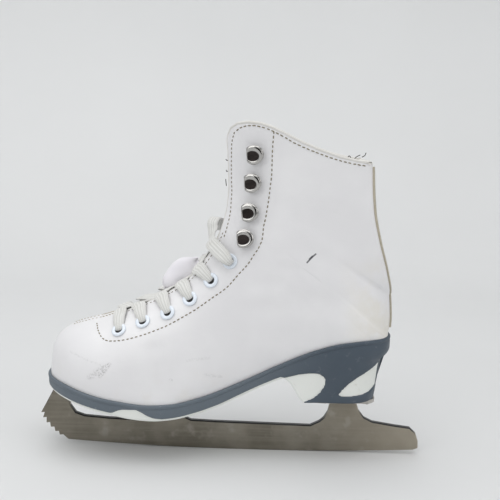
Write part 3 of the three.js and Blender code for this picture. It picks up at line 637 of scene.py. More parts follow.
def hook_face():
    s = Shader("hook_face_painted_reflection", metallic=0.9, roughness=0.16)
    # The near-black colour is a painted reflection: the chrome face mirrors the dark side in front of the
    # hook
    s.set("Base Color", s.mix(s.noise(400, 3), (0.012, 0.011, 0.011), (0.05, 0.04, 0.036)))
    s.set("Roughness", s.ramp(s.noise(1500, 3), 0.4, 0.7, 0.1, 0.28))
    return s.material


def enamel():
    s = Shader("eyelet_enamel", roughness=0.22, specular=0.6)
    s.set("Base Color", s.mix(s.noise(300, 3), (0.70, 0.76, 0.84), (0.80, 0.85, 0.91)))
    s.set("Roughness", s.ramp(s.noise(900, 3), 0.4, 0.7, 0.16, 0.34))
    return s.material


def cotton():
    s = Shader("lace_cotton", roughness=0.9, specular=0.15)
    uv = s.node("ShaderNodeUVMap").outputs["UV"]
    across, along, _ = s.split(uv)
    ribs = s.math("SINE", s.math("MULTIPLY", across, 2 * math.pi * 20))
    weave = s.math("SINE", s.math("MULTIPLY", along, 2 * math.pi / 0.0011))
    height = s.math("ADD", ribs, s.math("MULTIPLY", weave, 0.35))
    shade = s.ramp(height, -1.2, 1.2)
    colour = s.mix(shade, (0.60, 0.60, 0.575), (0.74, 0.735, 0.715))
    dirt = s.math("MULTIPLY", s.ramp(s.noise(160, 4, 0.6), 0.5, 0.75), 0.3)
    s.set("Base Color", s.mix(dirt, colour, (0.55, 0.53, 0.48)))
    s.set("Normal", s.bump(height, 0.0001, 0.5))
    return s.material


def tongue_cloth():
    s = Shader("tongue_padding", roughness=0.7, specular=0.25)
    s.set("Base Color", s.mix(s.noise(90, 4), (0.74, 0.72, 0.76), (0.84, 0.82, 0.85)))
    folds = s.bump(s.noise(60, 3), 0.0006, 0.4)
    s.set("Normal", s.bump(s.cells(1200), 0.00006, 0.5, folds))
    return s.material


def insole_board():
    s = Shader("insole_board", roughness=0.85, specular=0.2)
    s.set("Base Color", s.mix(s.noise(160, 5, 0.7), (0.50, 0.42, 0.30), (0.64, 0.56, 0.43)))
    s.set("Normal", s.bump(s.noise(1200, 3), 0.0001, 0.6))
    return s.material


def floor_paint():
    s = Shader("floor", roughness=0.6, specular=0.3)
    s.set("Base Color", s.mix(s.noise(3, 4, 0.6), (0.66, 0.665, 0.665), (0.71, 0.715, 0.715)))
    s.set("Normal", s.bump(s.noise(9, 3), 0.002, 0.25))
    return s.material


LEATHER_LOOK = leather()
LINING_LOOK = lining()
BINDING_LOOK = binding()
THREAD_LOOK = thread()
DARK_THREAD_AND_SLOT_SHADE_LOOK = dark_thread_and_slot_shade()
RAW_LOOK = raw_edge()
BORE_LOOK = eyelet_bore()
SLATE_LOOK = slate()
WHITE_LOOK = white_sole()
BLADE_LOOK = blade_steel()
PLATE_LOOK = plate_steel()
CHROME_LOOK = chrome()
FACE_LOOK = hook_face()
ENAMEL_LOOK = enamel()
COTTON_LOOK = cotton()
TONGUE_LOOK = tongue_cloth()
INSOLE_LOOK = insole_board()
FLOOR_LOOK = floor_paint()


def on_shoe(made):
    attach(made, "root")
    return made


# ---- Camera ----
CAMERA_AT = Vector((-0.0645, -0.600, 0.1388))
CAMERA_PITCH = math.radians(8)
CAMERA_ROLL = math.radians(1.8)
CAMERA_LENS = 65.4


def make_camera():
    data = bpy.data.cameras.new("camera")
    data.lens = CAMERA_LENS
    data.sensor_width = 36
    made = bpy.data.objects.new("camera", data)
    c, s = math.cos(CAMERA_ROLL), math.sin(CAMERA_ROLL)
    cp, sp = math.cos(CAMERA_PITCH), math.sin(CAMERA_PITCH)
    right = Vector((c, 0, s))
    forward = Vector((s * sp, cp, -c * sp))
    up = right.cross(forward)
    made.matrix_world = Matrix.Translation(CAMERA_AT) @ Matrix((right, up, -forward)).transposed().to_4x4()
    bpy.context.scene.collection.objects.link(made)
    bpy.context.scene.camera = made


make_camera()

# ---- Lace end, the free cord ----
LACE_END = [  # place, outward direction, width, thickness: out of the top eyelet, over the edge, and a curl
    (-74.0, -28.6, 49.9, 0.66, -0.10, -0.74, 4.6, 2.4),
    (-74.6, -31.6, 50.7, 0.66, -0.20, -0.70, 5.0, 2.4),
    (-75.9, -33.3, 52.0, 0.10, -0.95, -0.20, 6.8, 1.8),
    (-78.6, -32.6, 54.8, -0.28, -0.94, 0.22, 8.8, 1.4),
    (-82.2, -29.8, 57.8, -0.45, -0.85, 0.30, 9.5, 1.2),
    (-85.4, -25.2, 60.2, -0.60, -0.68, 0.36, 9.5, 1.2),
    (-87.4, -18.8, 61.4, -0.75, -0.30, 0.50, 9.5, 1.2),
    (-87.8, -11.5, 62.2, -0.78, -0.15, 0.55, 9.5, 1.2),
    (-87.0, -5.5, 64.2, -0.80, -0.45, 0.20, 9.3, 1.2),
    (-86.8, -2.0, 68.2, -0.60, -0.78, 0.00, 8.8, 1.2),
    (-87.2, 0.0, 72.0, -0.55, -0.80, 0.20, 8.6, 1.2),
    (-85.6, 2.6, 74.9, -0.20, -0.30, 0.93, 8.6, 1.2),
    (-82.8, 5.4, 74.2, 0.45, 0.55, 0.70, 8.6, 1.2),
    (-81.4, 7.0, 70.6, 0.60, 0.75, 0.10, 8.6, 1.2),
    (-81.2, 7.6, 66.0, 0.60, 0.78, 0.00, 8.6, 1.2),
]


def make_lace_end():
    line = smooth_line(LACE_END, 0.8)
    path, outs = line[:, :3], line[:, 3:6]
    profiles = np.stack([oval(wide, thick, 16, 0.55) for wide, thick in line[:, 6:]])
    vertices, faces, uv = sweep(path, outs, profiles)
    made = mesh_object("lace_end_cotton", vertices, faces, COTTON_LOOK, uv=uv)
    on_shoe(made)
    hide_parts("lace_end_lateral")


make_lace_end()

# ---- Upper ----
THROAT_FROM = 6.5
throat_half = Curve(
    [
        (6.5, 0.6), (6.6, 4), (6.8, 6.4), (7.2, 8.2), (8, 10), (9, 12), (10, 13.5), (11, 14.4),
        (12, 15), (24, 16),
    ]
)
COLLAR = np.array(
    [(-92, 205), (-79, 209.5), (-78.3, 214), (-76.6, 218), (-72.8, 220.8), (-66, 222), (-58, 221.4)]
    + [(-50.7, 219.3), (-42.4, 215.6), (-32.8, 211), (-20.1, 206.2), (-7.3, 202.3), (3, 200.2), (12.4, 199)]
    + [(40, 198.2)]
)


def turn_at(t, half):
    """The lateral turn near the crest that is so far from the middle line."""
    width = section(t)[4]
    angle = np.arccos(np.clip(half / width, 0, 1) ** (crest_round(t) / 2))
    return WIDEST_AT + (1 - WIDEST_AT) * angle * 2 / np.pi


TABLE_T = np.unique(np.concatenate([np.linspace(0, TOP, 1400), np.linspace(THROAT_FROM, 7.5, 600)]))
EDGE_TABLE = np.where(TABLE_T <= THROAT_FROM, 1.0, turn_at(TABLE_T, throat_half(TABLE_T)))


def over_footbed():
    low, high = np.zeros_like(TABLE_T), np.full_like(TABLE_T, WIDEST_AT)
    for _ in range(24):
        mid = (low + high) / 2
        p = bare(TABLE_T, mid)
        under = p[:, 2] < footbed(p[:, 0]) + GAP - SEAT
        low, high = np.where(under, mid, low), np.where(under, high, mid)
    start = bare(TABLE_T, np.zeros_like(TABLE_T))
    return np.where(start[:, 2] < footbed(start[:, 0]) + GAP - SEAT, high, 0.0)


FOOT_TABLE = over_footbed()


def turn_of(t, v):
    """Turn at share v of the way from the sole to the throat's edge or the crest."""
    low = np.interp(t, TABLE_T, FOOT_TABLE)
    high = np.interp(t, TABLE_T, EDGE_TABLE)
    return low + v * (high - low)


def collar_rows(v):
    """For each column v, the section t at which it meets the collar's line."""
    low, high = np.full_like(v, 15.0), np.full_like(v, TOP)
    for _ in range(30):
        mid = (low + high) / 2
        p = bare(mid, turn_of(mid, v))
        under = p[:, 2] + SEAT < np.interp(p[:, 0], COLLAR[:, 0], COLLAR[:, 1])
        low, high = np.where(under, mid, low), np.where(under, high, mid)
    return low


CREASES = [  # start, end, half width, depth: soft troughs over the ankle and the instep
    ((-66, 118), (-26, 126), 5.0, 0.45),
    ((-58, 130), (-14, 132), 4.0, 0.35),
    ((-34, 146), (2, 128), 5.0, 0.35),
    ((-72, 106), (-40, 104), 5.0, 0.3),
    ((-40, 112), (6, 108), 7.0, 0.4),
    ((-132, 76), (-108, 80), 4.0, 0.25),
]


def trough(points, start, end, half, depth):
    a = np.array([start[0], start[1] - SEAT])
    b = np.array([end[0], end[1] - SEAT])
    p = points[..., [0, 2]] - a
    run = b - a
    share = np.clip((p @ run) / (run @ run), 0, 1)
    far = np.linalg.norm(p - share[..., None] * run, axis=-1)
    fade = np.sin(np.clip(share, 0.02, 0.98) * np.pi) ** 0.6
    return depth * fade * (np.exp(-((far / half) ** 2)) - 0.45 * np.exp(-(((far - 1.6 * half) / half) ** 2)))


def upper_grid(rows, columns):
    """(t, turn) of the lateral half, the number of the row at the throat's end, and the edge distances."""
    coarse = np.linspace(0, 0.86, columns, endpoint=False)
    v = np.concatenate([coarse, np.linspace(0.86, 0.985, columns // 3)])
    v = np.concatenate([v, [0.991, 0.996, 1.0]])
    front = np.concatenate([np.linspace(0, 1, 9)[:-1], np.linspace(1, THROAT_FROM, rows // 4)])
    s = np.concatenate(
        [[0.0008, 0.0025, 0.006, 0.011, 0.018], np.linspace(0.027, 0.985, rows), [0.991, 0.996, 1.0]]
    )
    top = collar_rows(v)
    t = np.vstack([np.repeat(front[:, None], len(v), 1), THROAT_FROM + s[:, None] * (top - THROAT_FROM)])
    turn = turn_of(t, v[None])
    edge = np.full(t.shape, 99.0)
    rest = slice(len(front), None)
    edge[rest] = np.minimum((1 - v) * 95, (1 - s[:, None]) * 130)
    return t, turn, len(front) - 1, edge


def make_shell(name, shader, lift_out, lift_in, rows, columns, round_edge=0.0, crease=False):
    """A closed layer of the upper between two lifts."""
    t, turn, throat_row, edge = upper_grid(rows, columns)
    n, m = t.shape
    drop = round_edge * np.clip(1 - edge / 1.2, 0, 1) ** 2
    layers = []
    for medial in (False, True):
        at = 2 - turn if medial else turn
        place, out = bare(t, at), normal(t, at)
        shape = -sum(trough(place, *c) for c in CREASES) * (0.7 if medial else 1.0) if crease else 0.0
        shape = shape * smoothstep(edge, 2, 8) if crease else shape
        for lift in (lift_out, lift_in):
            extra = shape - drop if lift == lift_out else shape
            layers.append((place + out * (lift + extra)[..., None]) if np.ndim(extra) else place + out * lift)
    vertices = np.concatenate([layer.reshape(-1, 3) for layer in layers])
    size = n * m
    faces = []
    for k in range(4):
        faces += grid_faces(n, m, k * size, flip=k in (1, 2))

    def at(layer, i, j):
        return layer * size + i * m + j

    closed = np.flatnonzero(np.interp(t[:, 0], TABLE_T, FOOT_TABLE) <= 0)
    back = closed[0]
    for side in (0, 2):  # edges of each side: sole, throat and collar
        faces += [
            (at(side, i, 0), at(side, i + 1, 0), at(side + 1, i + 1, 0), at(side + 1, i, 0))
            for i in range(back)
        ]
        faces += [
            (at(side, i, m - 1), at(side + 1, i, m - 1), at(side + 1, i + 1, m - 1), at(side, i + 1, m - 1))
            for i in range(throat_row, n - 1)
        ]
        faces += [
            (at(side, n - 1, j), at(side + 1, n - 1, j), at(side + 1, n - 1, j + 1), at(side, n - 1, j + 1))
            for j in range(m - 1)
        ]
    for layer in (0, 1):  # across the back, and at the toe
        faces += [
            (at(layer, i, 0), at(layer + 2, i, 0), at(layer + 2, i + 1, 0), at(layer, i + 1, 0))
            for i in range(back, n - 1)
        ]
        faces += [
            (at(layer, 0, j), at(layer, 0, j + 1), at(layer + 2, 0, j + 1), at(layer + 2, 0, j))
            for j in range(m - 1)
        ]
    faces.append((at(0, back, 0), at(2, back, 0), at(3, back, 0), at(1, back, 0)))
    faces.append((at(0, n - 1, 0), at(2, n - 1, 0), at(3, n - 1, 0), at(1, n - 1, 0)))
    faces.append((at(0, 0, 0), at(2, 0, 0), at(3, 0, 0), at(1, 0, 0)))
    return mesh_object(name, vertices, faces, shader, sharp=50, weld=True)


def make_binding():
    """A roll round the collar and the throat's edges, over both layers."""
    t, turn, throat_row, _ = upper_grid(120, 60)
    side_t = np.concatenate([t[throat_row:, -1], t[-1, ::-1]])
    side_turn = np.concatenate([turn[throat_row:, -1], turn[-1, ::-1]])
    t = np.concatenate([side_t, side_t[::-1]])
    turn = np.concatenate([side_turn, 2 - side_turn[::-1]])
    outs = normal(t, turn)
    path = skin(t, turn, np.full_like(t, -WALL / 2))
    keep = np.concatenate([[True], np.linalg.norm(np.diff(path, axis=0), axis=1) > 0.35])
    line = smooth_line(np.hstack([path[keep], outs[keep]])[::2], 1.2)
    vertices, faces, _ = sweep(line[:-1, :3], line[:-1, 3:], oval(2.0, WALL + 0.35, 12, 0.8), closed=True)
    return mesh_object("collar_and_throat_binding", vertices, faces, BINDING_LOOK)


upper = on_shoe(
    make_shell("upper_leather_shell", LEATHER_LOOK, 0.0, -LEATHER, 130, 70, 0.5, True)
)
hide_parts("upper")
on_shoe(make_shell("upper_lining", LINING_LOOK, -LEATHER - 0.05, -WALL, 60, 36))
on_shoe(make_binding())

# ---- Stitching ----
FRONT_STITCH = [(-73.9, 216.2), (-75.6, 207.3), (-75.4, 191.4), (-74.9, 172.2), (-76.1, 159.2), (-79, 148.1)]
FACING_STITCH = [
    (-49.5, 217.7), (-50, 205.3), (-49.9, 192.9), (-50.7, 180.3),
    (-52.1, 167.7), (-53.7, 158.1), (-54.6, 148.6),
    (-58.2, 140.8), (-63, 132.9), (-69.1, 125.7), (-76.5, 117),
    (-85.3, 110.3), (-95.3, 102.8), (-105.4, 96.6),
    (-118.1, 89.7), (-130.8, 84.7), (-143.6, 81), (-153.3, 80.4), (-158.4, 83.8), (-161.7, 87.6),
]  # fmt: skip
COLLAR_STITCH = [
    (-73.1, 216.3), (-69.4, 218.9), (-63.2, 220.1), (-57, 219.3),
    (-50.7, 217.3), (-42.4, 213.4), (-32.8, 208.6),
    (-20.1, 203.9), (-7.4, 200.1), (9, 197.3),
]  # fmt: skip


def stitch(length, width, high):
    """A short thread lying on the leather, along X, as an open-ended capsule."""
    u = np.linspace(-1, 1, 7)
    fat = np.sqrt(np.clip(1 - u**4, 0.02, 1))
    a = np.linspace(0, 2 * np.pi, 8, endpoint=False)
    rings = np.stack(
        [
            np.repeat(u[:, None] * length / 2, 8, 1),
            fat[:, None] * np.cos(a) * width / 2,
            fat[:, None] * np.sin(a) * high / 2 - 0.12 * (u**4)[:, None],
        ],
        -1,
    )
    return rings.reshape(-1, 3), ring_faces(7, 8, capped=True)


def stitches_along(places, outs, pitch, length, width=0.75, high=0.6, lean=0.0):
    """Stitches laid every pitch along a line, a little uneven."""
    run = np.concatenate([[0], np.cumsum(np.linalg.norm(np.diff(places, axis=0), axis=1))])
    count = int(run[-1] / pitch)
    made = []
    for k in range(count):
        at = (k + 0.5) * run[-1] / count + RANDOM.normal(0, 0.08)
        p = np.array([np.interp(at, run, places[:, i]) for i in range(3)])
        q = np.array([np.interp(at + 0.3, run, places[:, i]) for i in range(3)])
        out = unit(np.array([np.interp(at, run, outs[:, i]) for i in range(3)]))
        x = unit(q - p)
        x = unit(x - out * (x @ out))
        y = np.cross(out, x)
        tilt = lean + RANDOM.normal(0, 0.07)
        x, y = x * math.cos(tilt) + y * math.sin(tilt), y * math.cos(tilt) - x * math.sin(tilt)
        shape = stitch(length * RANDOM.uniform(0.88, 1.08), width, high)
        made.append(put(shape, p + out * 0.1, x, y, out))
    return made


def throat_stitch(medial):
    """The row just inside the throat's edge, along the instep."""
    t = np.linspace(7.1, 12.8, 64)
    turn = turn_at(t, throat_half(t) + 3.4)
    turn = 2 - turn if medial else turn
    return skin(t, turn, np.zeros_like(t)), normal(t, turn)


def make_stitching():
    made = []
    for medial in (False, True):
        for row, pitch, length in (
            (FRONT_STITCH, 2.6, 1.7), (FACING_STITCH, 2.9, 2.0), (COLLAR_STITCH, 3.0, 2.3),
        ):  # fmt: skip
            places, outs = line_on_skin(row, 0.8, 0.0, medial)
            made += stitches_along(places, outs, pitch, length)
        places, outs = throat_stitch(medial)
        made += stitches_along(places, outs, 2.7, 1.6, 0.55, 0.5)
    return mesh_object("stitching", *joined(made), THREAD_LOOK)


on_shoe(make_stitching())


def tack_row(first, last, count, length, tilt, fat):
    """Needle marks either side of the middle line, between two sections over the toe."""
    made = []
    for t in np.linspace(first, last, count):
        for sign in (-1, 1):
            turn = 1 + sign * 0.03
            place, out = skin(t, turn, 0.1), normal(t, turn)
            x = unit(np.cross(out, np.array([0.0, 1.0, 0.0])))
            y = np.cross(out, x)
            x, y = (
                x * math.cos(tilt * sign) + y * math.sin(tilt * sign),
                y * math.cos(tilt) - x * math.sin(tilt * sign),
            )
            made.append(put(stitch(length, fat, fat), place, x, y, out))
    return made


def bar_tack():
    """Pale looped stitches at the throat's front end, and a faint row that runs on over the toe."""
    loops = tack_row(5.75, 6.4, 5, 3.0, 0.9, 0.8)
    on_shoe(mesh_object("throat_bar_tack", *joined(loops), RAW_LOOK))
    row = tack_row(3.9, 5.6, 9, 1.7, 0.3, 0.5)
    on_shoe(mesh_object("toe_seam_stitches", *joined(row), RAW_LOOK))


bar_tack()

# ---- Back seam ----
BACK_LOW_H = 88
BACK_HIGH_H = 197.5


def back_line(y, lift):
    """A line up the back of the heel at so much from the middle, between the two heights."""
    t = np.linspace(16.6, 22.6, 90)
    turn = np.zeros_like(t)
    for _ in range(30):
        p = bare(t, turn)
        turn = turn + np.clip((abs(y) - np.abs(p[:, 1])) * 0.01, -0.02, 0.02)
        turn = np.clip(turn, 0, 0.3)
    turn = 2 - turn if y > 0 else turn
    place = skin(t, turn, np.full_like(t, lift))
    keep = (place[:, 2] + SEAT > BACK_LOW_H) & (place[:, 2] + SEAT < BACK_HIGH_H)
    return place[keep], normal(t, turn)[keep]


def make_back_strip():
    """A white strip over the back seam, its middle a little proud."""
    across = np.linspace(-4.6, 4.6, 11)
    lines = [back_line(y, 0.0)[0] for y in across]
    count = min(len(line) for line in lines)
    grid = np.stack([line[:count] for line in lines], 1)
    out = np.zeros_like(grid)
    out[..., 0] = 1.0
    proud = (0.9 + 0.5 * np.cos(across / 4.6 * np.pi / 2))[None, :, None]
    outer = grid + out * proud
    inner = grid + out * 0.2
    return mesh_object("back_strip", *slab(outer, inner), LEATHER_LOOK, sharp=50), outer


def make_raw_edges():
    made = []
    for y in (-4.9, 4.9):
        places, outs = back_line(y, 0.55)
        vertices, faces, _ = sweep(places, outs, oval(1.5, 1.5, 8, 0.8))
        made.append((vertices, faces))
    return mesh_object("quarter_raw_edges", *joined(made), RAW_LOOK)


def make_zigzag(outer):
    """Zigzag stitching down the back strip."""
    made = []
    n = outer.shape[0]
    for k in range(3, n - 3):
        p, q = outer[k, 2], outer[min(k + 1, n - 1), 5]
        if k % 2:
            p, q = outer[k, 5], outer[min(k + 1, n - 1), 2]
        x = unit(q - p)
        out = np.array([1.0, 0.0, 0.1])
        out = unit(out - x * (x @ out))
        body = stitch(np.linalg.norm(q - p), 0.4, 0.5)
        made.append(put(body, (p + q) / 2 + out * 0.1, x, np.cross(out, x), out))
    return mesh_object("back_zigzag", *joined(made), BINDING_LOOK)


back_strip, back_grid = make_back_strip()
on_shoe(back_strip)
on_shoe(make_raw_edges())
on_shoe(make_zigzag(back_grid))

# ---- Sole ----
fore_inset = Curve([(0, 0), (4, 0), (9, 0.5), (12, 1.2), (46, 1.2)])
heel_inset = Curve([(0, 0), (9, 0.3), (15.5, 1.2), (36, 4.4), (46, 5.6)])
rear_inset = Curve([(0, 0), (4, -0.5), (9, -0.4), (12, 1), (15.5, 5), (17, 5.6), (36, 7.8), (46, 9.4)])
BREAST = [(-37, 57.8), (-33.4, 55.4), (-30.4, 51), (-27.6, 46), (-24.6, HEEL_BOTTOM)]
WINDOWS = {
    "heel_front": [
        (-60, 44), (-37.6, 58.6), (-34.8, 59.7), (-28, 61.6), (-20.6, 62.7), (-15.5, 62.6), (-11.5, 60.9),
        (-9.4, 57.7), (-9.8, 53.6), (-12.6, 48.6), (-16.1, 44.9),
        (-19.6, 43), (-24.4, 41.4), (-30, 38), (-60, 38),
    ],
    "heel_rear": [
        (-2.2, 47.4), (0.6, 51.6), (5, 56.2), (10, 60), (17, 63.6), (23, 66.4), (28, 69), (45, 70), (45, 51),
        (24, 50.4), (20, 48.2), (15, 46.8), (8, 46.2), (0.5, 46),
    ],
    "ball": [
        (-152, 28), (-151, 34.4), (-147, 35.8), (-143.3, 37.6), (-140.6, 38.2), (-131.6, 38.4), (-128, 36.8),
        (-124, 34.4), (-120.8, 33), (-116, 32), (-112, 28),
    ],
}  # fmt: skip
REAR_RIB = 4


def polygon_distance(points, outline):
    """Distance to an outline in the side view, negative inside."""
    outline = np.array(outline, float)
    best = np.full(points.shape[:-1], 1e9)
    inside = np.zeros(points.shape[:-1], bool)
    for a, b in zip(outline, np.roll(outline, -1, 0)):
        run = b - a
        share = np.clip(((points - a) @ run) / (run @ run), 0, 1)
        best = np.minimum(best, np.linalg.norm(points - a - share[..., None] * run, axis=-1))
        spans = (a[1] > points[..., 1]) != (b[1] > points[..., 1])
        rise = run[1] if abs(run[1]) > 1e-9 else 1e-9
        crossing = a[0] + (points[..., 1] - a[1]) * run[0] / rise
        inside ^= spans & (points[..., 0] < crossing)
    return np.where(inside, -best, best)


def window_distance(place):
    """Distance to the nearest white insert over the sole's skin, negative inside it."""
    side = np.stack([place[..., 0], place[..., 2] + SEAT], -1)
    found = np.minimum(polygon_distance(side, WINDOWS["heel_front"]), polygon_distance(side, WINDOWS["ball"]))
    rear = np.maximum(polygon_distance(side, WINDOWS["heel_rear"]), REAR_RIB - np.abs(place[..., 1]))
    return np.minimum(found, rear)


def underside(x, back=0.0):
    """Height of the sole's underside, with the breast moved back by so much."""
    steps = [(a + back, b) for a, b in BREAST]
    breast = np.interp(x, [p[0] for p in steps], [p[1] for p in steps])
    return np.where(x < steps[0][0], np.maximum(sole_bottom(x), 0), breast)


def sole_stations():
    span = HEEL_TIP - TOE_TIP
    x = TOE_TIP + span * (1 - np.cos(np.linspace(0, np.pi, 150))) / 2
    x = np.unique(np.round(np.concatenate([x, np.linspace(-40, -22, 34), np.linspace(-153, -111, 50)]), 3))
    keep = np.concatenate([[True], np.diff(x) > 0.12])
    return np.arccos(np.clip(1 - 2 * (x[keep] - TOE_TIP) / span, -1, 1))


def make_sole(name, shader, white):
    """The sole's slate body or the white one within it: rings from toe to heel."""
    angle = sole_stations()
    span = HEEL_TIP - TOE_TIP

    def outline(a, sign):
        x = TOE_TIP + span * (1 - np.cos(a)) / 2
        return np.stack([x, plan_middle(x) + sign * half_plan(x)], -1)

    x = outline(angle, 1)[:, 0]
    if white:
        low = underside(x)
    else:
        layer = BOTTOM_LAYER * (1 - smoothstep(x, -40, -36))
        low = underside(x, 1.4) + layer
    deep = rim_top(x) - low
    bead = np.array([0.0, 0.15, 0.6, 1.3, 2.0, 2.5, 2.8, 3.2])
    down = np.concatenate([np.linspace(0.02, 0.96, 40), [0.985, 1.0]])
    depth = np.hstack([np.repeat(bead[None], len(x), 0), 3.2 + down * (deep[:, None] - 3.2)])
    swell = np.interp(
        depth, [0, 0.15, 0.6, 1.3, 2.0, 2.5, 2.8, 3.2], [-0.5, -0.1, 0.25, 0.4, 0.3, 0.05, -0.2, -0.1]
    )
    swell = np.where(depth > 3.2, np.interp(depth, [3.2, 4.2], [-0.1, 0.0]), swell)
    round_low = -0.5 * np.clip(1 - (deep[:, None] - depth) / 0.8, 0, 1) ** 2
    sides = []
    for sign in (-1, 1):
        e = 0.012
        run = unit(outline(np.minimum(angle + e, np.pi), sign) - outline(np.maximum(angle - e, 0), sign))
        out = np.stack([-run[:, 1] * sign, run[:, 0] * sign], -1)
        out[0], out[-1] = (-1, 0), (1, 0)
        heel = smoothstep(x, -50, -8)[:, None]
        rear = np.maximum(out[:, :1], 0) ** 2
        sideways = heel_inset(depth) * (1 - rear) + rear_inset(depth) * rear
        moved = RIM_WIDTH + GAP - fore_inset(depth) * (1 - heel) - sideways * heel + swell + round_low

        def ring(shift):
            flat = outline(angle, sign)[:, None] + out[:, None] * (moved + shift)[..., None]
            return np.dstack([flat, rim_top(x)[:, None] - depth - SEAT])

        inside = window_distance(ring(np.zeros_like(moved)))
        if white:
            layer = (rim_top(x)[:, None] - depth) - (sole_bottom(x)[:, None] + BOTTOM_LAYER)
            layer = np.where(x[:, None] < -36, layer, 9.0)
            shift = np.where(np.minimum(inside, layer) < 0.25, -0.75, -2.4)
        else:
            shift = -1.5 * smoothstep(inside, 0.15, -1.25)
        wall = ring(shift)
        if not white:
            inner = wall[:, :1].copy()
            inner[:, 0, :2] = outline(angle, sign) + out * GAP
            low_inner = inner.copy()
            low_inner[:, 0, 2] = footbed(x) - SEAT
            wall = np.concatenate([low_inner, inner, wall], 1)
        else:
            wall = wall[:, 9:]
        sides.append(wall)
    lateral, medial = sides
    cross = np.linspace(0, 1, 12)[1:-1][None, :, None]
    bottom = lateral[:, -1:] * (1 - cross) + medial[:, -1:] * cross
    rings = np.concatenate([lateral, bottom, medial[:, ::-1]], 1)
    faces = ring_faces(*rings.shape[:2], capped=True)
    return mesh_object(name, rings.reshape(-1, 3), faces, shader, sharp=48, weld=True)


outsole = on_shoe(make_sole("outsole_slate", SLATE_LOOK, False))
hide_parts("outsole")
inserts = on_shoe(make_sole("sole_white_core", WHITE_LOOK, True))
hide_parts("sole_core")

# ---- Blade ----
ROCKER = 2100
PICKS = [(-200.7, 21.9), (-199.4, 18.3), (-197, 14.8), (-194.1, 11.7), (-191, 8.8), (-188, 6.4)]
PICK_NOTCH = (2.4, 0.3)
EDGE_SOFT = 0.8  # of the blade's top edges


def plate_under(x):
    return sole_bottom(x) - GAP - PLATE


def blade_outline():
    """Side view of the blade, anticlockwise from the top pick, with each corner's chamfer."""
    toe = []
    for x, h in PICKS:
        toe += [(x, h, 0.12), (x + PICK_NOTCH[0], h + PICK_NOTCH[1], 0.12)]
    edge = [(x, (x + 61) ** 2 / (2 * ROCKER), 0.3) for x in np.linspace(-182, 54, 60)]
    heel_top = HEEL_BOTTOM - GAP - PLATE - GAP
    tail = [
        (57.4, 4.4), (57.2, 9.4), (55.2, 15), (51.2, 18.6),
        (41.2, 19.8), (25.3, 22.2), (19.7, 24.9), (15.6, 30),
        (14, 34.5), (14, heel_top), (-4, heel_top), (-4.2, 34),
        (-5.4, 28.3), (-8, 24), (-11, 21.4), (-17, 18.4),
        (-82, 19.2), (-98.6, 19.7), (-102.2, 21.4), (-105, 24.6),
    ]  # fmt: skip
    ball = [(x, plate_under(x) - GAP) for x in np.linspace(-106.5, -124, 7)]
    bridge = [(-128, 18.6), (-154, 19.4), (-171, 20.6), (-177, 22.6), (-180.8, 27.8)]
    toe_top = [(x, plate_under(x) - GAP) for x in np.linspace(-182.2, -192.3, 6)]
    soft = [(x, h, EDGE_SOFT) for x, h in tail + ball + bridge + toe_top]
    return np.array(toe + edge + soft)


def shrunk(outline):
    """The outline moved in by each corner's chamfer."""
    p, by = outline[:, :2], outline[:, 2:]
    before, after = unit(p - np.roll(p, 1, 0)), unit(np.roll(p, -1, 0) - p)
    inward = unit(np.stack([-(before + after)[:, 1], (before + after)[:, 0]], -1))
    return p + inward * by


def make_blade():
    outline = blade_outline()
    inner = shrunk(outline)
    full = outline[:, :2]
    depth = outline[:, 2] * 0.7
    half = np.full(len(full), BLADE / 2)
    rings = []
    for flat, y in ((inner, -half), (full, depth - half), (full, half - depth), (inner, half)):
        rings.append(np.stack([flat[:, 0], y, flat[:, 1] - SEAT], -1))
    n = len(full)
    faces = ring_faces(4, n)
    cap = tessellate_polygon([[Vector((a, b, 0)) for a, b in inner]])
    faces += [tuple(t) for t in cap] + [tuple(3 * n + k for k in reversed(t)) for t in cap]
    return mesh_object("blade_satin_steel", np.vstack(rings), faces, BLADE_LOOK, sharp=25)


blade = on_shoe(make_blade())
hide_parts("blade")
for node in ("blade_toe_plate", "blade_heel_plate"):
    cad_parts[node].data.materials.clear()
    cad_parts[node].data.materials.append(PLATE_LOOK)


def make_screws():
    """Low domed heads, each with a dark cross as painted shade for its slot, over the record's ten screws."""
    for name in sorted(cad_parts):
        if "screw" not in name:
            continue
        low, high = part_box(name)
        middle = np.array((low + high) / 2) / MM
        profile = [(0.01, -0.45), (1.4, -0.4), (2.4, -0.1), (3.2, 0.35), (3.5, 0.6), (3.4, 0.7), (0.01, 0.7)]
        head = lathe(profile, 28)
        slope = Matrix.Rotation(0.0, 3, "Y")
        if name.startswith("toe"):
            rise = (sole_bottom(middle[0] + 2) - sole_bottom(middle[0] - 2)) / 4
            slope = Matrix.Rotation(-math.atan(float(rise)), 3, "Y")
        slot_shades = []
        # Dark bars sunk into the head: painted shade standing for the cross slot's recess
        for turn in (0.4, 0.4 + math.pi / 2):
            bar = np.array([(x, y, z) for x in (-1.9, 1.9) for y in (-0.35, 0.35) for z in (-0.52, -0.2)])
            c, s = math.cos(turn), math.sin(turn)
            bar = bar @ np.array([(c, s, 0), (-s, c, 0), (0, 0, 1)])
            box = [(0, 1, 3, 2), (4, 6, 7, 5), (0, 4, 5, 1), (2, 3, 7, 6), (0, 2, 6, 4), (1, 5, 7, 3)]
            slot_shades.append((bar, box))
        vertices, faces = head
        vertices = vertices @ np.array(slope).T + middle
        made = on_shoe(mesh_object(name + "_head", vertices, faces, PLATE_LOOK, weld=True))
        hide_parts(name)
        cross, cross_faces = joined(slot_shades)
        vertices = cross @ np.array(slope).T + middle
        on_shoe(mesh_object(name + "_slot_shade", vertices, cross_faces, DARK_THREAD_AND_SLOT_SHADE_LOOK))


make_screws()

# ---- Eyelets and hooks ----
EYELETS = locate(
    [(-144.9, 86.6), (-129.5, 93), (-113.5, 99.6), (-99.5, 108.9), (-86.4, 121.2), (-74.5, 133.9)]
)
HOOKS = locate([(-65, 148.8), (-62.4, 165.6), (-61.2, 184.6), (-60.4, 202.6)])
EYELET_OFF = 0.15


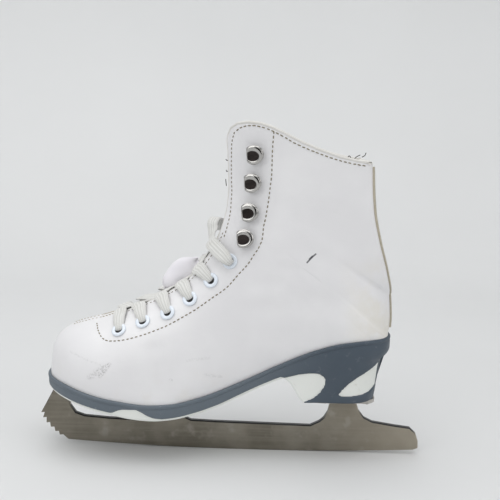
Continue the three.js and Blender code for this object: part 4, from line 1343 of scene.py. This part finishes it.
def seat_axes(t, turn):
    """Axes on the skin: away from the throat, up along it, and out."""
    out = normal(t, turn)
    rear = np.array([1.0, 0.0, 0.1])
    rear = unit(rear - out * (rear @ out))
    return rear, np.cross(out, rear), out


def make_eyelets():
    a = np.linspace(-0.5, np.pi + 0.35, 12)
    ring = [(3.7 + 1.25 * math.cos(k), EYELET_OFF + 0.3 + 0.85 * math.sin(k)) for k in a]
    barrel = [(2.52, 0.1), (2.5, -WALL - 0.2), (3.0, -WALL - 0.2), (3.05, EYELET_OFF - 0.1)]
    shape = lathe(ring + barrel, 44)
    bore = lathe([(0.01, 0.12), (2.45, 0.12), (2.45, -0.6), (0.01, -0.6)], 24)
    for medial in (False, True):
        side = "medial" if medial else "lateral"
        for i, (t, turn) in enumerate(EYELETS):
            at = 2 - turn if medial else turn
            rear, up, out = seat_axes(t, at)
            vertices, faces = put(shape, skin(t, at), rear, up, out)
            made = mesh_object(f"eyelet_ring_{side}_{i + 1}", vertices, faces, ENAMEL_LOOK, sharp=60)
            on_shoe(made)
            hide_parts(f"eyelet_{side}_{i + 1}")
            vertices, faces = put(bore, skin(t, at), rear, up, out)
            on_shoe(mesh_object(f"eyelet_bore_{side}_{i + 1}", vertices, faces, BORE_LOOK))


HEAD_RADIUS = 6.1
HEAD_FLAT = 4.3  # how far the straight side lies from the middle
HEAD_SIDES = 64


def d_outline(scale):
    """A round head with a straight side towards the throat; the smaller it is, the nearer to that side."""
    a = np.linspace(0, 2 * np.pi, HEAD_SIDES, endpoint=False)
    x, y = HEAD_RADIUS * np.cos(a), HEAD_RADIUS * np.sin(a)
    x = np.where(x < -HEAD_FLAT, -HEAD_FLAT + (x + HEAD_FLAT) * 0.12, x)
    return np.stack([x * scale - 2.0 * (1 - scale), y * scale**1.8 - 2.0 * (1 - scale)], -1)


HOOK_TOP = 4.9


def hook_head():
    """The hook's D-shaped head: dished face, painted near black as a reflection of the dark side in front of
    it, and the rolled rim round it.
    """
    roll = np.linspace(-0.5, np.pi + 0.9, 15)
    rim = [(0.84 - 0.16 * math.cos(k), 0.75 * math.sin(k) - 0.15) for k in roll]
    rings = []
    for scale, z in rim + [(0.5, -0.9), (0.02, -0.9)]:
        rings.append(np.column_stack([d_outline(scale), np.full(HEAD_SIDES, HOOK_TOP + z)]))
    face = []
    for scale, z in ((0.02, 0.0), (0.5, 0.0), (0.74, 0.0)):
        face.append(np.column_stack([d_outline(scale), np.full(HEAD_SIDES, HOOK_TOP + z)]))
    made = []
    for stack in (rings, face):
        faces = ring_faces(len(stack), HEAD_SIDES)
        capped = len(stack) - 1 if stack is rings else 0
        faces.append(tuple(capped * HEAD_SIDES + j for j in range(HEAD_SIDES)))
        made.append((np.vstack(stack), faces))
    return made


def hook_foot():
    """The washer on the leather and the bent strip from it up to the head's straight side."""
    washer = lathe([(0.01, 0.2), (5.0, 0.2), (5.5, 0.45), (5.45, 0.9), (4.9, 1.2), (0.01, 1.2)], 40)
    bend = np.linspace(-np.pi / 2, np.pi / 2, 9)
    path = [(2.5, 0.0, 1.3)] + [(-2.9 - 1.5 * math.cos(b), 0.0, 2.8 + 1.5 * math.sin(b)) for b in bend]
    path += [(-1.0, 0.0, 4.35)]
    path = np.array(path)
    outs = np.array([(0, 0, -1)] + [(-math.cos(b), 0, math.sin(b)) for b in bend] + [(0, 0, 1)], float)
    vertices, faces, _ = sweep(path, outs, oval(8.2, 0.9, 8, 0.7))
    return joined([washer, (vertices, faces)])


def make_hooks():
    (rim, rim_faces), (face, face_faces) = hook_head()
    foot = hook_foot()
    for medial in (False, True):
        side = "medial" if medial else "lateral"
        for i, (t, turn) in enumerate(HOOKS):
            at = 2 - turn if medial else turn
            rear, up, out = seat_axes(t, at)
            base = skin(t, at)
            vertices, faces = joined([(rim, rim_faces), foot])
            vertices, faces = put((vertices, faces), base, rear, up, out)
            made = mesh_object(f"hook_body_{side}_{i + 1}", vertices, faces, CHROME_LOOK, sharp=70)
            on_shoe(made)
            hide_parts(f"hook_{side}_{i + 1}")
            # The dished face, with its painted reflection of the dark side in front
            vertices, faces = put((face, face_faces), base, rear, up, out)
            face_with_painted_reflection = mesh_object(f"hook_face_{side}_{i + 1}", vertices, faces, FACE_LOOK, sharp=50)
            on_shoe(face_with_painted_reflection)


make_eyelets()
make_hooks()

# ---- Laces ----
FAR_TUCK = 0.15  # share of the step to the next eyelet at which a strand passes under the far edge
CLEAR_OF_EDGE = 0.6


def nearest_edge(t, turn):
    """The section at which the throat's edge, seen from the side, comes nearest to an eyelet."""
    place = skin(t, turn)
    tried = np.linspace(max(t - 2.5, THROAT_FROM + 0.3), t, 60)
    edge = skin(tried, turn_at(tried, throat_half(tried) + CLEAR_OF_EDGE))
    return tried[np.linalg.norm((edge - place)[:, [0, 2]], axis=1).argmin()]


def lace_strand(start, end, from_medial, over):
    """From inside, out of one eyelet, over its edge, across, and in under the far edge to the next."""
    t0, turn0 = start
    t1, turn1 = end
    near = nearest_edge(t0, turn0)
    far = t1 - (t1 - t0) * FAR_TUCK
    near_edge = turn_at(near, throat_half(near) + CLEAR_OF_EDGE)
    far_edge = turn_at(far, throat_half(far) - 1.5)

    def way(share):
        return t0 + (near - t0) * share, turn0 + (near_edge - turn0) * share

    head = np.array(  # t, turn, lift, width, thick, arch
        [
            (*way(0.0), -5.0, 4.0, 2.8, 0.0),
            (*way(0.02), -0.8, 5.0, 2.4, 0.3),
            (*way(0.15), 1.3, 7.0, 1.8, 0.9),
            (*way(0.42), 2.4, 8.4, 1.5, 0.8),
            (*way(0.7), 2.1, 9.4, 1.3, 0.4),
            (*way(1.0), 2.0, 9.7, 1.2, 0.2),
        ]
    )
    foot = np.array(
        [
            (far, 2 - far_edge, -4.4, 9.0, 1.2, 0.1),
            ((far + t1) / 2, 2 - (turn1 + far_edge) / 2, -4.6, 8.0, 1.3, 0.1),
            (t1, 2 - turn1, -4.6, 4.5, 2.0, 0.0),
        ]
    )
    rows = []
    for group in (head, foot):
        at = 2 - group[:, 1] if from_medial else group[:, 1]
        place = skin(group[:, 0], at, group[:, 2])
        rows.append(np.column_stack([place, normal(group[:, 0], at), group[:, 3:]]))
    head, foot = rows
    middle = (head[-1] + foot[0]) / 2
    middle[:3] += unit(middle[3:6]) * (0.75 if over else -0.75)
    middle[6:] = (9.4, 1.2, 0.1)
    line = smooth_line(np.vstack([head, middle[None], foot]), 0.9)
    profiles = np.stack([oval(w, k, 20, 0.6, arch) for w, k, arch in line[:, 6:]])
    return sweep(line[:, :3], line[:, 3:6], profiles)


def make_laces():
    parts, coords = [], []
    first = EYELETS[0]
    bar = lace_bar(first)
    parts.append(bar[:2])
    coords.append(bar[2])
    for i in range(len(EYELETS) - 1):
        for from_medial in (False, True):
            over = from_medial == bool(i % 2)
            vertices, faces, uv = lace_strand(EYELETS[i], EYELETS[i + 1], from_medial, over)
            parts.append((vertices, faces))
            coords.append(uv)
    vertices, faces = joined(parts)
    made = mesh_object("laces_ribbed_cotton", vertices, faces, COTTON_LOOK, uv=np.vstack(coords))
    on_shoe(made)
    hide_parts("lace_bars")


def lace_bar(first):
    """The bottom bar, inside, from one first eyelet to the other, under the throat's edges."""
    t, turn = first
    half = np.linspace(turn, 2 - turn, 9)
    line = skin(np.full(9, t), half, np.full(9, -4.6))
    outs = normal(np.full(9, t), half)
    return sweep(line, outs, oval(6.5, 1.3, 16, 0.6))


make_laces()

# ---- Tongue and insole ----
tongue_half = Curve([(5.6, 12), (6.2, 17), (8, 20), (12, 22), (21, 23.5)])


def make_tongue():
    """A padded strip under the throat, with the padding pushed up between two lace crossings."""
    t = np.linspace(6.2, 21, 90)
    v = np.linspace(-1, 1, 41)
    grid_t = np.repeat(t[:, None], len(v), 1)
    half = tongue_half(t)[:, None] * np.abs(v)[None]
    turn = turn_at(grid_t, half)
    turn = np.where(v[None] > 0, 2 - turn, turn)
    ends = smoothstep(grid_t, 6.2, 6.9), 1 - smoothstep(grid_t, 20.6, 21)
    edge = smoothstep(1 - np.abs(v), 0, 0.22)[None] * ends[0] * ends[1]
    quilt = 0.35 * np.sin(grid_t * 2.2) * edge
    over = skin(grid_t, turn, -WALL - 3.2 + quilt - 1.2 * (1 - edge))
    under = skin(grid_t, turn, -WALL - 6.4 + 1.2 * (1 - edge))
    return mesh_object("tongue_padded", *joined([slab(over, under), lobe()]), TONGUE_LOOK)


def lobe():
    """The pushed-up padding: a long soft head on a thin neck."""
    centre = np.array([-107.4, 0.5, 120.4 - SEAT])
    u = np.linspace(0, np.pi, 22)
    a = np.linspace(0, 2 * np.pi, 36, endpoint=False)
    along = unit(np.array([0.72, 0.0, 0.69]))
    out = np.array([-along[2], 0.0, along[0]])
    rings = []
    for k in u:
        ring = []
        for b in a:
            local = np.array(
                [math.cos(k) * 14.6, math.sin(k) * math.cos(b) * 6.8, math.sin(k) * math.sin(b) * 8.4]
            )
            dent = 1 + 0.05 * math.sin(3 * b + 2 * k) + 0.04 * math.sin(5 * k + b)
            local *= dent
            ring.append(centre + along * local[0] + np.array([0, 1.0, 0]) * local[1] + out * local[2])
        rings.append(ring)
    rings = np.array(rings)
    return rings.reshape(-1, 3), ring_faces(*rings.shape[:2])


tongue = on_shoe(make_tongue())
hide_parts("tongue")
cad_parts["insole"].data.materials.clear()
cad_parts["insole"].data.materials.append(INSOLE_LOOK)

# ---- Loose dark threads at the collar's rear and beyond the throat ----
THREADS = [
    [(-10.6, 1, 202.2), (-9.4, 1, 203.4), (-8.2, 1, 202.6)],
    [(0.4, 1, 200.8), (1.6, 1, 202.2), (2.6, 1, 201)],
    [(5, 0, 200.6), (6.6, 0, 202), (8.6, 0, 203)],
    [(9.8, 0, 201.6), (11.6, 0, 202.8), (12.4, 0, 204.6)],
    [(-79.6, 0, 197.6), (-79, 0, 196.8), (-77.6, 0, 196.9)],
    [(-79.2, 0, 190.4), (-78.8, 0, 189.4), (-78.2, 0, 189.8)],
    [(-79.4, 0, 184.4), (-79.1, 0, 182.4), (-78.8, 0, 180)],
]


def make_threads():
    made = []
    for points in THREADS:
        line = smooth_line(np.array(points, float) - (0, 0, SEAT), 0.6)
        outs = np.repeat(np.array([[0, -1.0, 0]]), len(line), 0)
        vertices, faces, _ = sweep(line, outs, oval(0.55, 0.5, 6))
        made.append((vertices, faces))
    return mesh_object("loose_threads", *joined(made), DARK_THREAD_AND_SLOT_SHADE_LOOK)


on_shoe(make_threads())


# ---- Floor and light ----
def make_stage():
    """A pale floor that curves up into a backdrop."""
    profile = [(-2.5, 0.0), (0.55, 0.0)]
    profile += [
        (0.55 + 0.5 * math.sin(a), 0.5 - 0.5 * math.cos(a)) for a in np.linspace(0.1, math.pi / 2, 14)
    ]
    profile += [(1.05, 3.0)]
    vertices = [(x, y, z - SEAT * MM) for y, z in profile for x in (-3.0, 3.0)]
    faces = [(2 * i, 2 * i + 1, 2 * i + 3, 2 * i + 2) for i in range(len(profile) - 1)]
    floor = mesh_object("floor", np.array(vertices) / MM, faces, FLOOR_LOOK, sharp=80)


def make_dark_card():
    """A dark card behind the camera, seen only in polished metal."""
    s = Shader("dark_card", roughness=1.0, specular=0.0)
    s.set("Base Color", (0.01, 0.009, 0.008))
    vertices = [(-900, -1500, -60), (800, -1500, -60), (800, -1500, 900), (-900, -1500, 900)]
    card = mesh_object("dark_card", np.array(vertices, float), [(0, 1, 2, 3)], s.material)
    card.visible_camera = False
    card.visible_diffuse = False
    card.visible_shadow = False


def area_light(name, place, target, size, power, colour=(1, 1, 1)):
    data = bpy.data.lights.new(name, "AREA")
    data.shape = "RECTANGLE"
    data.size, data.size_y = size
    data.energy = power
    data.color = colour
    made = bpy.data.objects.new(name, data)
    made.location = place
    made.rotation_mode = "QUATERNION"
    made.rotation_quaternion = (Vector(target) - Vector(place)).to_track_quat("-Z", "Y")
    bpy.context.scene.collection.objects.link(made)


def make_light():
    area_light("top", (-0.3, -0.2, 1.6), (-0.06, 0.05, 0), (2.2, 1.8), 18)
    area_light("front_left", (-1.3, -1.5, 0.9), (-0.06, 0, 0.02), (1.2, 1.2), 7.5)
    area_light("right", (1.5, -0.9, 0.8), (-0.06, 0, 0.02), (1.0, 1.2), 6)
    world = bpy.data.worlds.new("world")
    bpy.context.scene.world = world
    world.use_nodes = True
    world.node_tree.nodes["Background"].inputs[0].default_value = (0.97, 0.985, 1.0, 1)
    world.node_tree.nodes["Background"].inputs[1].default_value = 0.55


make_stage()
make_dark_card()
make_light()
bpy.context.scene.view_settings.view_transform = "Standard"
bpy.context.scene.view_settings.look = "None"
